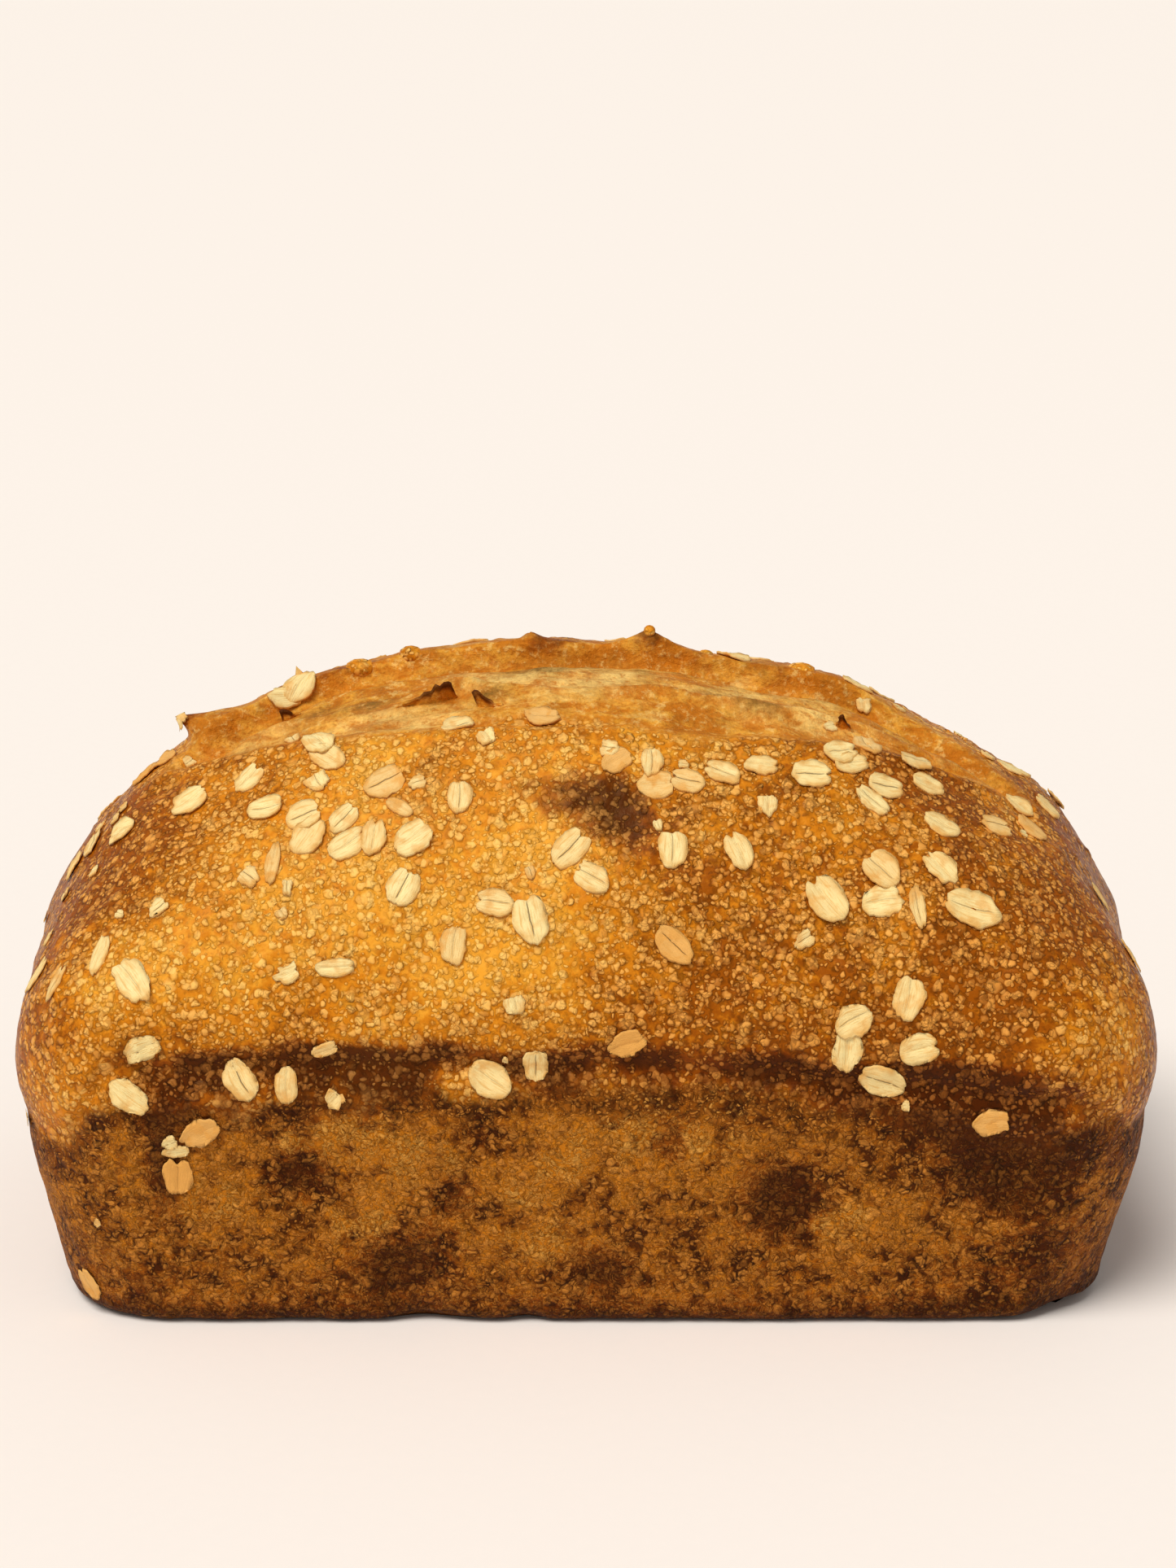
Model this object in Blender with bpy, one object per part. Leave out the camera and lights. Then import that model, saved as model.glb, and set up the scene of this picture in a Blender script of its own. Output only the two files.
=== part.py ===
"""A sourdough loaf baked in a long tin, scored along its top, with rolled oats baked on.

The loaf stands on its flat base with its long side along X and its crown up Z. The crust below
the rim crease took the tin's shape; above it the crust rose free into a dome, and a long score
opened on top, with a torn ear along its rear edge. Crust, torn points and oats are one solid.
All sizes are in metres.
"""

import math
import random

import bmesh
import bpy
from mathutils import Matrix, Vector, noise
from mathutils.bvhtree import BVHTree

NODE_NAME = "loaf"

# Driving sizes of the loaf: full length and width at the base, part-way up and at the widest
BASE_SIZE = (0.2130, 0.1120)
SIDE_SIZE = (0.2260, 0.1210)
WIDEST_SIZE = (0.2312, 0.1260)
SIDE_Z = 0.030
WIDEST_Z = 0.050
CROWN_Z = 0.125
BASE_EDGE_RADIUS = 0.003
BASE_CORNER_RADIUS = 0.022
CORNER_RADIUS = 0.025

# How full the dome is along and across the loaf: 1 is an ellipse, less is fuller
DOME_LENGTH_POWER = 0.83
DOME_WIDTH_POWER = 0.90

# Cells of the crust's grid, the share of its rows below the rim, and where the sides meet the top
CELLS = (48, 26, 14)
ROWS_BELOW_RIM = 6 / 14
SHOULDER_Z = 0.1055

# The rim crease, where the crust left the tin: its height in the middle and at the corners
RIM_FRONT_Z = 0.0578
RIM_CORNER_Z = 0.0410
RIM_END_Z = 0.0430
RIM_LEFT_CORNER_X = (0.092, 0.106)
RIM_RIGHT_CORNER_X = (0.094, 0.112)
RIM_END_X = (0.106, 0.114)
RIM_END_Y = (0.050, 0.030)
RIM_DEPTH = 0.0015
RIM_WIDTH = 0.0028
BULGE_HEIGHT = 0.0008
BULGE_RISE = 0.0100
BULGE_WIDTH = 0.0085

# Towards the loaf's ends the crease and the bulge fade: from where to where, and how much is left
RIM_FADE_X = (0.096, 0.110)
RIM_LEFT_OVER = 0.30

# How steeply the rim crease falls to the right, and from where
RIM_FALL = 0.085
RIM_FALL_X = 0.010

# The crust's own unevenness: waves per metre, and their height below and above the rim
UNEVEN = ((48, 0.0005, 0.0010), (120, 0.0000, 0.0004))
FREE_CRUST_RISE = 0.020

# Broad swells and hollows of the free crust: centre, reach and height
SWELLS = (
    ((-0.090, -0.010, 0.092), 0.026, 0.0024),
    ((-0.113, 0.000, 0.071), 0.012, 0.0025),
    ((0.115, 0.000, 0.052), 0.018, -0.0018),
    ((0.113, 0.000, 0.073), 0.011, 0.0021),
    ((0.100, -0.045, 0.008), 0.016, -0.0009),
    ((0.074, -0.005, 0.108), 0.022, -0.0022),
    ((0.098, 0.000, 0.094), 0.018, 0.0006),
    ((0.036, 0.002, 0.122), 0.020, -0.0018),
    ((-0.020, 0.030, 0.118), 0.040, 0.0010),
    ((0.040, 0.050, 0.090), 0.030, 0.0012),
    ((-0.060, 0.055, 0.075), 0.028, -0.0010),
)

# Shallow pits in the tin-baked crust of the front, where the dough held air: place along the
# loaf, height, radius and depth
PITS = (
    (-0.0575, 0.0340, 0.0075, 0.0012),
    (-0.0260, 0.0300, 0.0060, 0.0009),
    (-0.0210, 0.0425, 0.0050, 0.0007),
    (0.0165, 0.0415, 0.0060, 0.0009),
    (0.0390, 0.0290, 0.0100, 0.0016),
    (-0.0395, 0.0130, 0.0080, 0.0010),
    (0.0030, 0.0125, 0.0065, 0.0008),
    (0.0820, 0.0335, 0.0090, 0.0010),
)

# Bites out of the base's edge, along the front: how high they reach, then place, half length
# and depth of each
BITE_HEIGHT = 0.006
EDGE_BITES = (
    (-0.0330, 0.0060, 0.0016),
    (-0.0120, 0.0035, 0.0012),
    (0.0960, 0.0060, 0.0015),
)

# The score on top: its middle and half length, the line of its front lip and of its rear ear
SCORE_MID_X = 0.003
SCORE_HALF_LENGTH = 0.091
LIP_MID_Y = -0.0310
EAR_MID_Y = 0.0065
SCORE_END_Y = -0.0130
SCORE_RISE_Z = (0.085, 0.098)
LIP_HEIGHT = 0.0007
LIP_WIDTH = 0.0030
SCORE_DEPTH = 0.0015
SCORE_SLOPE = 0.0040
EAR_HEIGHT = 0.0026
EAR_START_X = (-0.088, -0.072)
EAR_STOP_X = (0.066, 0.046)
EAR_FALL = 0.014

# The torn ridge along the opened score: its share of the way from lip to ear, where it strays
# towards the ear (place, reach, distance), and its size; then the hollow under the ear
RIDGE_SHARE = 0.38
RIDGE_STRAY = (-0.028, 0.012, 0.005)
RIDGE_HEIGHT = 0.0018
RIDGE_WIDTH = 0.0034
HOLLOW_DEPTH = 0.0022
HOLLOW_WIDTH = 0.0034
HOLLOW_SETBACK = 0.0050

# Torn points: place along and across the loaf, height, base width, and lean in X and Y. Each is
# rooted a little way into the crust
TORN_ROOT = 0.0022
TORN_SIDES = 7
TORN_TIP_SHARE = 0.05
TORN_POINTS = (
    (-0.0785, -0.0010, 0.0045, 0.0070, -0.0055, -0.0010),
    (0.0128, 0.0070, 0.0064, 0.0090, 0.0008, -0.0010),
    (-0.0110, 0.0065, 0.0026, 0.0045, -0.0012, -0.0006),
    (-0.0325, -0.0150, 0.0030, 0.0070, 0.0022, -0.0020),
    (-0.0190, -0.0200, 0.0034, 0.0042, -0.0014, -0.0010),
    (0.0530, -0.0165, 0.0028, 0.0036, -0.0010, -0.0008),
    (-0.0610, -0.0080, 0.0024, 0.0038, -0.0016, -0.0004),
)

# Rolled oats: the sizes of a middling flake, then each flake of the front and the crown. A row is
# its place along the loaf in mm, its angle round it in degrees (0 at the front, 90 on top), its
# turn from the loaf's length in degrees and its own length in mm
OAT_LENGTH = 0.0085
OAT_WIDTH_SHARE = 0.70
SLIM_WIDTH_SHARE = 0.38
OAT_SIZES = (0.80, 1.12)
OAT_TOP_SHARE = 0.62
OAT_SIDES = 8
OAT_PROUD = 0.0010
OAT_SUNK = 0.0013
OAT_TILT = 0.12
OAT_SEED = 41
WHOLE_OATS = (
    (-106, 70, 36, 7.5), (-102, 70, 88, 8), (-95, 63, 175, 8), (-80, 63, 31, 8.5), (-68, 65, 43, 7.5),
    (-63, 89, 26, 7), (-60, 91, 61, 9), (-54, 69, 123, 8.5), (-52, 65, 137, 9), (-64, 56, 0, 8),
    (-56, 53, 20, 8), (-55, 49, 59, 9), (-48, 52, 47, 7.5), (-47, 47, 36, 9), (-42, 48, 81, 7.5),
    (-40, 58, 26, 9), (-34, 47, 32, 8.5), (-36, 39, 62, 8), (-26, 69, 24, 7), (-25, 54, 89, 7),
    (-89, 23, 129, 10), (-87, 11, 26, 7.5), (-90, 2, 142, 9), (-68, 5, 119, 8.5), (-59, 4, 90, 7),
    (-26, 29, 84, 8), (-18, 36, 172, 8), (-11, 33, 102, 9.5), (-19, 5, 145, 9), (-10, 8, 90, 7.5),
    (-3, 45, 47, 10), (1, 40, 149, 8), (13, 60, 91, 7), (14, 56, 9, 8), (20, 57, 166, 7.5),
    (27, 59, 160, 7.5), (35, 61, 4, 7), (45, 60, 7, 8.5), (17, 45, 91, 8), (30, 45, 116, 8),
    (51, 66, 25, 7.5), (53, 64, 25, 7.5), (57, 71, 101, 9), (60, 61, 6, 8), (57, 57, 144, 7.5),
    (58, 43, 137, 9), (58, 37, 12, 9), (47, 37, 127, 10), (67, 70, 22, 8), (69, 65, 178, 7.5),
    (71, 54, 160, 8), (70, 44, 136, 8), (76, 36, 167, 11), (83, 59, 9, 7.5), (89, 73, 162, 7),
    (63, 20, 79, 9), (65, 11, 13, 8), (52, 16, 29, 8), (51, 11, 88, 9), (58, 5, 159, 10),
    (31, 97, 139, 8), (57, 96, 20, 8), (90, 95, 30, 8.5), (96, 81, 161, 7),
)
TOASTED_OATS = (
    (91, 64, 134, 8), (17, 29, 137, 9), (6, 60, 35, 7), (8, 12, 17, 7.5), (-9, 70, 173, 7),
    (-88, 85, 139, 7), (-92, 84, 38, 7), (80, -3, 6, 8), (-76, -5, 28, 8.5), (-81, -14, 87, 8),
    (-101, -40, 141, 7.5),
)
SLIM_OATS = (
    (-62, 44, 81, 8.5), (-49, 25, 3, 8), (-51, 11, 22, 6), (-96, 28, 91, 9.5), (-110, 26, 59, 9),
    (-105, 23, 77, 8), (65, 36, 98, 9), (105, 53, 150, 8), (110, 31, 116, 8), (-81, -9, 6, 5.5),
    (-37, 53, 145, 6.5),
)

# The rear, which carries oats as the front does: how many are tried, the room each keeps from the
# next, how far along the loaf and between which angles they fall, and the girth those angles span
SCATTER_TRIES = 260
SCATTER_ROOM = 0.0150
SCATTER_REACH_X = 0.110
SCATTER_ANGLES = (100, 182)
SCATTER_RADIUS = 0.062

# How many of the oats, the largest first, are solid
SOLID_OATS = 96

# Half the distances over which the crust's slope is read under an oat: along, and round in radians
SEAT_STEP = 0.0025
SEAT_TURN = 0.05
BEYOND_CRUST = 0.2


def smooth_step(low, high, value):
    """Rises from 0 at low to 1 at high with level ends."""
    share = min(max((value - low) / (high - low), 0.0), 1.0)
    return share * share * (3 - 2 * share)


def hump(value, middle, width):
    """A bell of height 1 at its middle."""
    return math.exp(-((value - middle) / width) ** 2)


def wall_half_sizes(z):
    """Half length and half width of the tin-shaped part at height z."""
    if z < SIDE_Z:
        low, high, share = BASE_SIZE, SIDE_SIZE, z / SIDE_Z
    else:
        low, high, share = SIDE_SIZE, WIDEST_SIZE, (z - SIDE_Z) / (WIDEST_Z - SIDE_Z)
    inset = 0.0
    if z < BASE_EDGE_RADIUS:
        inset = BASE_EDGE_RADIUS - math.sqrt(BASE_EDGE_RADIUS**2 - (BASE_EDGE_RADIUS - z) ** 2)
    return [(low[axis] + (high[axis] - low[axis]) * share) / 2 - inset for axis in (0, 1)]


def ring_point(u, v, half_length, half_width, corner_radius, roundness):
    """A point of the loaf's outline at one height, from a rounded oblong (0) to an oval (1)."""
    radius = min(corner_radius, half_length, half_width)
    x, y = half_length * u, half_width * v
    centre = Vector((
        min(max(x, radius - half_length), half_length - radius),
        min(max(y, radius - half_width), half_width - radius),
    ))
    corner = centre + radius * (Vector((x, y)) - centre).normalized()
    oval = Vector((x, y)) / math.hypot(u, v)
    return corner.lerp(oval, roundness)


def rim_height(x, y):
    """Height of the rim crease: high along the sides, low at the corners and the ends."""
    corner = smooth_step(*RIM_LEFT_CORNER_X, -x) + smooth_step(*RIM_RIGHT_CORNER_X, x)
    wave = 0.0004 * math.sin(x * 75 + y * 20) + 0.0004 * math.sin(x * 190 + 1.0)
    side = RIM_FRONT_Z - RIM_FALL * max(x - RIM_FALL_X, 0.0) + wave
    side += (RIM_CORNER_Z - side) * corner
    end = smooth_step(*RIM_END_X, abs(x)) * smooth_step(*RIM_END_Y, abs(y))
    return side + (RIM_END_Z - side) * end


def outline_point(u, v, z):
    """A point of the loaf's outline at height z, where u and v run round a square."""
    if z < WIDEST_Z:
        half_length, half_width = wall_half_sizes(z)
        corner_radius = BASE_CORNER_RADIUS + (CORNER_RADIUS - BASE_CORNER_RADIUS) * z / WIDEST_Z
        flat = ring_point(u, v, half_length, half_width, corner_radius, 0.0)
        return Vector((flat.x, flat.y, z))
    rise = (z - WIDEST_Z) / (CROWN_Z - WIDEST_Z)
    level = math.sqrt(max(1 - rise**2, 0.0))
    half_length = WIDEST_SIZE[0] / 2 * level**DOME_LENGTH_POWER
    half_width = WIDEST_SIZE[1] / 2 * level**DOME_WIDTH_POWER
    roundness = smooth_step(0.15, 0.95, rise)
    flat = ring_point(u, v, half_length, half_width, CORNER_RADIUS, roundness)
    return Vector((flat.x, flat.y, z))


def form_point(u, v, w):
    """The loaf's plain form: u and v run over a square from -1 to 1, w from the base (0) up."""
    reach = max(abs(u), abs(v))
    if w < 1e-6:
        return outline_point(u / max(reach, 1e-6), v / max(reach, 1e-6), 0.0) * reach
    if reach < 1e-6:
        return Vector((0, 0, CROWN_Z))
    if reach < 1 - 1e-6:
        shoulder = math.asin((SHOULDER_Z - WIDEST_Z) / (CROWN_Z - WIDEST_Z))
        turn = shoulder + (math.pi / 2 - shoulder) * (1 - reach)
        z = WIDEST_Z + (CROWN_Z - WIDEST_Z) * math.sin(turn)
        return outline_point(u / reach, v / reach, z)
    widest = outline_point(u, v, WIDEST_Z)
    rim_z = rim_height(widest.x, widest.y)
    if w < ROWS_BELOW_RIM:
        z = rim_z * smooth_step(0.0, 1.0, w / ROWS_BELOW_RIM)
    else:
        z = rim_z + (SHOULDER_Z - rim_z) * (w - ROWS_BELOW_RIM) / (1 - ROWS_BELOW_RIM)
    return outline_point(u, v, z)


def tin_relief(x, y, z):
    """The rim crease with the bulge over it, the pits and the bites of the tin-baked crust."""
    above = z - rim_height(x, y)
    height = BULGE_HEIGHT * hump(above, BULGE_RISE, BULGE_WIDTH) - RIM_DEPTH * hump(above, 0.0, RIM_WIDTH)
    height *= 1 - (1 - RIM_LEFT_OVER) * smooth_step(*RIM_FADE_X, abs(x))
    if y < 0:
        for pit_x, pit_z, radius, depth in PITS:
            height -= depth * hump(math.hypot(x - pit_x, z - pit_z), 0.0, radius)
        for bite_x, half_length, depth in EDGE_BITES:
            height -= depth * hump(x, bite_x, half_length) * hump(z, 0.0, BITE_HEIGHT)
    return height


def score_lines(x):
    """The score's fade along its length, and the place across the loaf of its lip and ear."""
    along = (x - SCORE_MID_X) / SCORE_HALF_LENGTH
    fade = smooth_step(1.06, 0.86, abs(along))
    lip = LIP_MID_Y + (SCORE_END_Y - LIP_MID_Y) * along**2
    ear = EAR_MID_Y + (SCORE_END_Y - EAR_MID_Y) * along**4 + 0.0012 * math.sin(x * 110)
    return fade, lip, ear


def score_relief(x, y):
    """The opened score: a lip, a hollowed torn band with a ridge along it, and the rear ear."""
    fade, lip, ear = score_lines(x)
    if fade <= 0.0:
        return 0.0
    stray_x, stray_reach, stray = RIDGE_STRAY
    ridge = lip + (ear - lip) * RIDGE_SHARE + stray * hump(x, stray_x, stray_reach)
    ragged = 0.6 + 0.8 * noise.noise(Vector((x * 60, 3.1, 0.4)))
    height = LIP_HEIGHT * hump(y, lip, LIP_WIDTH)
    opened = smooth_step(lip, lip + SCORE_SLOPE, y) * smooth_step(ear, ear - SCORE_SLOPE, y)
    height -= SCORE_DEPTH * opened
    height += RIDGE_HEIGHT * ragged * hump(y, ridge, RIDGE_WIDTH)
    height -= HOLLOW_DEPTH * hump(y, ear - HOLLOW_SETBACK, HOLLOW_WIDTH)
    spanned = smooth_step(*EAR_START_X, x) * smooth_step(*EAR_STOP_X, x)
    uneven = 0.85 + 0.5 * noise.noise(Vector((x * 45, 7.7, 0.0)))
    behind = smooth_step(ear - 0.0016, ear + 0.0006, y) * math.exp(-max(y - ear, 0.0) / EAR_FALL)
    height += EAR_HEIGHT * spanned * uneven * behind
    return height * fade


def crust_relief(point):
    """How far the crust stands off the plain form, along the form's normal."""
    x, y, z = point
    height = tin_relief(x, y, z)
    for centre, reach, rise in SWELLS:
        height += rise * hump((point - Vector(centre)).length, 0.0, reach)
    if z > SCORE_RISE_Z[0]:
        height += score_relief(x, y) * smooth_step(*SCORE_RISE_Z, z)
    free = smooth_step(0.0, FREE_CRUST_RISE, z - rim_height(x, y))
    for rate, tin_height, free_height in UNEVEN:
        height += (tin_height + (free_height - tin_height) * free) * noise.noise(point * rate)
    return height


def shape_crust():
    """The crust as a bmesh: a gridded box carried on to the loaf's form, then given relief."""
    crust = bmesh.new()
    bmesh.ops.create_cube(crust, size=2.0)
    for axis, cells in enumerate(CELLS):
        along = [
            edge for edge in crust.edges
            if abs((edge.verts[0].co - edge.verts[1].co).normalized()[axis]) > 0.9
        ]
        bmesh.ops.subdivide_edges(crust, edges=along, cuts=cells - 1, use_grid_fill=True)
    inside_base = [v for v in crust.verts if v.co.z < -0.99 and max(abs(v.co.x), abs(v.co.y)) < 0.99]
    for vert in crust.verts:
        vert.co = form_point(vert.co.x, vert.co.y, (vert.co.z + 1) / 2)
    bmesh.ops.dissolve_verts(crust, verts=inside_base)
    crust.normal_update()
    moves = {}
    for vert in crust.verts:
        normal = vert.normal.copy()
        if vert.co.z < 1e-6:
            normal = Vector((normal.x, normal.y, 0.0)).normalized()
        moves[vert] = normal * crust_relief(vert.co)
    for vert, move in moves.items():
        vert.co += move
    bmesh.ops.recalc_face_normals(crust, faces=crust.faces)
    return crust


def surface_point(tree, x, angle):
    """The crust where a ray from the loaf's long axis, raised to its widest, leaves it."""
    start = Vector((x, 0.0, WIDEST_Z))
    direction = Vector((0.0, -math.cos(angle), math.sin(angle)))
    return tree.ray_cast(start + direction * BEYOND_CRUST, -direction)[0]


def seat(tree, x, angle):
    """Place and level of the crust at x and angle: the point, along, round and outward."""
    point = surface_point(tree, x, angle)
    ends = [surface_point(tree, x + step, angle) for step in (-SEAT_STEP, SEAT_STEP)]
    sides = [surface_point(tree, x, angle + turn) for turn in (-SEAT_TURN, SEAT_TURN)]
    along = (ends[1] - ends[0]).normalized()
    outward = along.cross(sides[1] - sides[0]).normalized()
    return point, along, outward.cross(along), outward


def oat_places():
    """Every oat's place, angle, length, width share, turn and tilt, the largest first."""
    draw = random.Random(OAT_SEED)
    places = []
    kinds = ((OAT_WIDTH_SHARE, WHOLE_OATS), (OAT_WIDTH_SHARE, TOASTED_OATS), (SLIM_WIDTH_SHARE, SLIM_OATS))
    for width_share, rows in kinds:
        for x, angle, turn, length in rows:
            tilt = draw.uniform(-OAT_TILT, OAT_TILT)
            spot = (x / 1000, math.radians(angle), length / 1000, width_share, math.radians(turn), tilt)
            places.append(spot)
    scattered = []
    for _ in range(SCATTER_TRIES):
        x = draw.uniform(-SCATTER_REACH_X, SCATTER_REACH_X)
        angle = math.radians(draw.uniform(*SCATTER_ANGLES))
        length = OAT_LENGTH * draw.uniform(*OAT_SIZES)
        turn = draw.uniform(0, math.tau)
        tilt = draw.uniform(-OAT_TILT, OAT_TILT)
        unrolled = Vector((x, SCATTER_RADIUS * angle))
        if all((unrolled - other).length > SCATTER_ROOM for other in scattered):
            scattered.append(unrolled)
            places.append((x, angle, length, OAT_WIDTH_SHARE, turn, tilt))
    return sorted(places, key=lambda place: -place[2])


def add_solid(name, shape, finishes, collection):
    """A named object from a bmesh, with its materials, in a collection."""
    mesh = bpy.data.meshes.new(name)
    shape.to_mesh(mesh)
    shape.free()
    for finish in finishes:
        mesh.materials.append(finish)
    solid = bpy.data.objects.new(name, mesh)
    collection.objects.link(solid)
    return solid


def oat_shape(place, tree):
    """One rolled oat: a low oval lens, partly sunk in the crust."""
    x, angle, length, width_share, turn, tilt = place
    point, along, around, outward = seat(tree, x, angle)
    level = Matrix((along, around, outward)).transposed().to_4x4()
    turned = Matrix.Rotation(turn, 4, "Z") @ Matrix.Rotation(tilt, 4, "Y")
    middle = Matrix.Translation((0, 0, (OAT_PROUD - OAT_SUNK) / 2))
    half_width = length * width_share / 2
    size = Matrix.Diagonal((length / 2, half_width, OAT_PROUD + OAT_SUNK, 1))
    shape = bmesh.new()
    bmesh.ops.create_cone(
        shape,
        cap_ends=True,
        segments=OAT_SIDES,
        radius1=1.0,
        radius2=OAT_TOP_SHARE,
        depth=1.0,
        matrix=Matrix.Translation(point) @ level @ turned @ middle @ size,
    )
    for face in shape.faces:
        face.material_index = 1
    return shape


def torn_point_shape(torn, tree):
    """One torn point of the score: a small leaning cone rooted in the crust."""
    x, y, height, width, lean_x, lean_y = torn
    point = tree.ray_cast(Vector((x, y, BEYOND_CRUST)), Vector((0, 0, -1)))[0]
    whole = height + TORN_ROOT
    shape = bmesh.new()
    bmesh.ops.create_cone(
        shape,
        cap_ends=True,
        segments=TORN_SIDES,
        radius1=width / 2 * whole / height,
        radius2=width * TORN_TIP_SHARE,
        depth=whole,
        matrix=Matrix.Translation(point + Vector((0, 0, height - whole / 2))),
    )
    for vert in shape.verts:
        if vert.co.z > point.z:
            vert.co += Vector((lean_x, lean_y, 0))
    return shape


def join_to_crust(crust, collection):
    """Unite the collection's solids with the crust, for good, and remove them."""
    union = crust.modifiers.new("Baked on", "BOOLEAN")
    union.operation = "UNION"
    union.operand_type = "COLLECTION"
    union.collection = collection
    union.solver = "EXACT"
    view = bpy.context.evaluated_depsgraph_get()
    joined = bpy.data.meshes.new_from_object(crust.evaluated_get(view))
    crust.modifiers.remove(union)
    crust.data = joined
    for solid in list(collection.objects):
        bpy.data.objects.remove(solid, do_unlink=True)
    bpy.data.collections.remove(collection)


def keep_largest_body(crust):
    """Drop any loose scrap that the union left."""
    shape = bmesh.new()
    shape.from_mesh(crust.data)
    waiting = set(shape.verts)
    bodies = []
    while waiting:
        body = {waiting.pop()}
        front = list(body)
        while front:
            vert = front.pop()
            for edge in vert.link_edges:
                other = edge.other_vert(vert)
                if other in waiting:
                    waiting.discard(other)
                    body.add(other)
                    front.append(other)
        bodies.append(body)
    bodies.sort(key=len)
    scraps = [vert for body in bodies[:-1] for vert in body]
    bmesh.ops.delete(shape, geom=scraps, context="VERTS")
    shape.to_mesh(crust.data)
    shape.free()


def make_material(name, colour, roughness):
    """A plain surface finish."""
    material = bpy.data.materials.new(name)
    material.use_nodes = True
    surface = material.node_tree.nodes["Principled BSDF"]
    surface.inputs["Base Color"].default_value = (*colour, 1.0)
    surface.inputs["Roughness"].default_value = roughness
    surface.inputs["Metallic"].default_value = 0.0
    material.diffuse_color = (*colour, 1.0)
    return material


def build():
    """Model the loaf."""
    for thing in list(bpy.data.objects):
        bpy.data.objects.remove(thing, do_unlink=True)
    finishes = (
        make_material("browned crust", (0.43, 0.17, 0.040), 0.55),
        make_material("rolled oat", (0.80, 0.58, 0.26), 0.70),
    )
    scene_collection = bpy.context.scene.collection
    baked_on = bpy.data.collections.new("baked on")
    scene_collection.children.link(baked_on)

    shape = shape_crust()
    tree = BVHTree.FromBMesh(shape)
    for number, place in enumerate(oat_places()[:SOLID_OATS]):
        add_solid(f"oat {number}", oat_shape(place, tree), finishes, baked_on)
    for number, torn in enumerate(TORN_POINTS):
        add_solid(f"torn point {number}", torn_point_shape(torn, tree), finishes, baked_on)
    crust = add_solid(NODE_NAME, shape, finishes, scene_collection)
    join_to_crust(crust, baked_on)
    keep_largest_body(crust)
    crust.data.shade_smooth()
    crust.data.set_sharp_from_angle(angle=math.radians(35))


build()
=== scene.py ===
"""A sourdough loaf baked in a long tin, with its blistered crust, opened score and rolled oats.

The file is laid out as an add-on and runs as a script. The panel in the 3D view's sidebar lists
the operators in the order in which they are used: crust, torn edges, oats, stage. All sizes are
in metres unless a comment says otherwise.
"""

import math
import random

import bmesh
import bpy
from bpy.props import FloatProperty, FloatVectorProperty, IntProperty, PointerProperty
from mathutils import Matrix, Vector, noise
from mathutils.bvhtree import BVHTree


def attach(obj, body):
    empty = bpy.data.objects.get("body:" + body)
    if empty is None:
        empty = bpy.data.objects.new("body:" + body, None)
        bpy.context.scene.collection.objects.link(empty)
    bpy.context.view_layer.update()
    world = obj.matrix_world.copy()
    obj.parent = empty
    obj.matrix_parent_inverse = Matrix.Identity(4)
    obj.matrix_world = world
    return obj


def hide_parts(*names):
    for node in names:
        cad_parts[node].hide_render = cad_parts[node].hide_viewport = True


bl_info = {
    "name": "Sourdough tin loaf",
    "version": (1, 0, 0),
    "blender": (4, 5, 0),
    "location": "3D View > Sidebar > Loaf",
    "description": "Models a scored sourdough loaf with rolled oats on its crust",
    "category": "Add Mesh",
}

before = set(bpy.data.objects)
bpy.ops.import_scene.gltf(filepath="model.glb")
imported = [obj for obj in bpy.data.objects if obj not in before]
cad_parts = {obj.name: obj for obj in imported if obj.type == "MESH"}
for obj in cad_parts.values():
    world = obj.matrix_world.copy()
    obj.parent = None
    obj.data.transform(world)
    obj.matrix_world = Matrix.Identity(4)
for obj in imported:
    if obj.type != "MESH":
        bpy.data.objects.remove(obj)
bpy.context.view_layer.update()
BODY = "root"
LOAF_NODE = "loaf"

# Heights between which the crust's form changes
SIDE_Z = 0.030
WIDEST_Z = 0.050
SHOULDER_Z = 0.1055

# The crust's zones: each vertex keeps one number for each, and the crust's material reads them. The
# third darkens the crust by scorching and by painted shade, the fifth holds one painted highlight
# among the browning, and the sixth is painted shadow in the score's hollows
ZONE_NAMES = ("tin", "score", "char", "pale", "brown", "dim", "fine")

# Cells of the crust's grid along, across and up, and the share of its rows below the rim
CELLS = (224, 108, 100)
ROWS_BELOW_RIM = 0.40

# How evenly those rows are spaced (the rest crowd towards the base and the rim), and the share of
# the dome's rise over which its outline turns from a rounded oblong to an oval
ROWS_EVEN = 0.6
ROUNDING_RISE = (0.15, 0.95)

# Sizes below this count as none
TINY = 1e-6

# An edge lies along an axis from this share of its length, and a point of the grid lies inside its
# face up to this far out
NEARLY_ALONG = 0.9
INSIDE_FACE = 0.99

# The rim crease, where the crust left the tin
RIM_LEFT_CORNER_X = (0.092, 0.106)
RIM_RIGHT_CORNER_X = (0.094, 0.112)
RIM_END_X = (0.106, 0.114)
RIM_END_Y = (0.050, 0.030)
RIM_WIDTH = 0.0028

# The crease's waves: per metre along and across the loaf, where each starts, and its height
RIM_WAVES = ((75, 20, 0.0, 0.0004), (190, 0, 1.0, 0.0004))

# The bulge over the crease
BULGE_HEIGHT = 0.0008
BULGE_RISE = 0.0100
BULGE_WIDTH = 0.0085

# Towards the loaf's ends the crease and the bulge fade: from where to where, and how much is left
RIM_FADE_X = (0.096, 0.110)
RIM_LEFT_OVER = 0.30

# How steeply the rim crease falls to the right, and from where
RIM_FALL = 0.085
RIM_FALL_X = 0.010

# The crust's own unevenness: waves per metre, and their height below and above the rim
UNEVEN = ((48, 0.0005, 0.0010), (120, 0.0000, 0.0004))
FINE_UNEVEN = ((260, 0.00016, 0.00020), (520, 0.00012, 0.00012))
FREE_CRUST_RISE = 0.020

# Bubbles that swell the free crust: cells per metre, height, and the share of a cell they fill
BUBBLES = ((210, 0.00050, 0.46), (340, 0.00040, 0.50))

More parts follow.
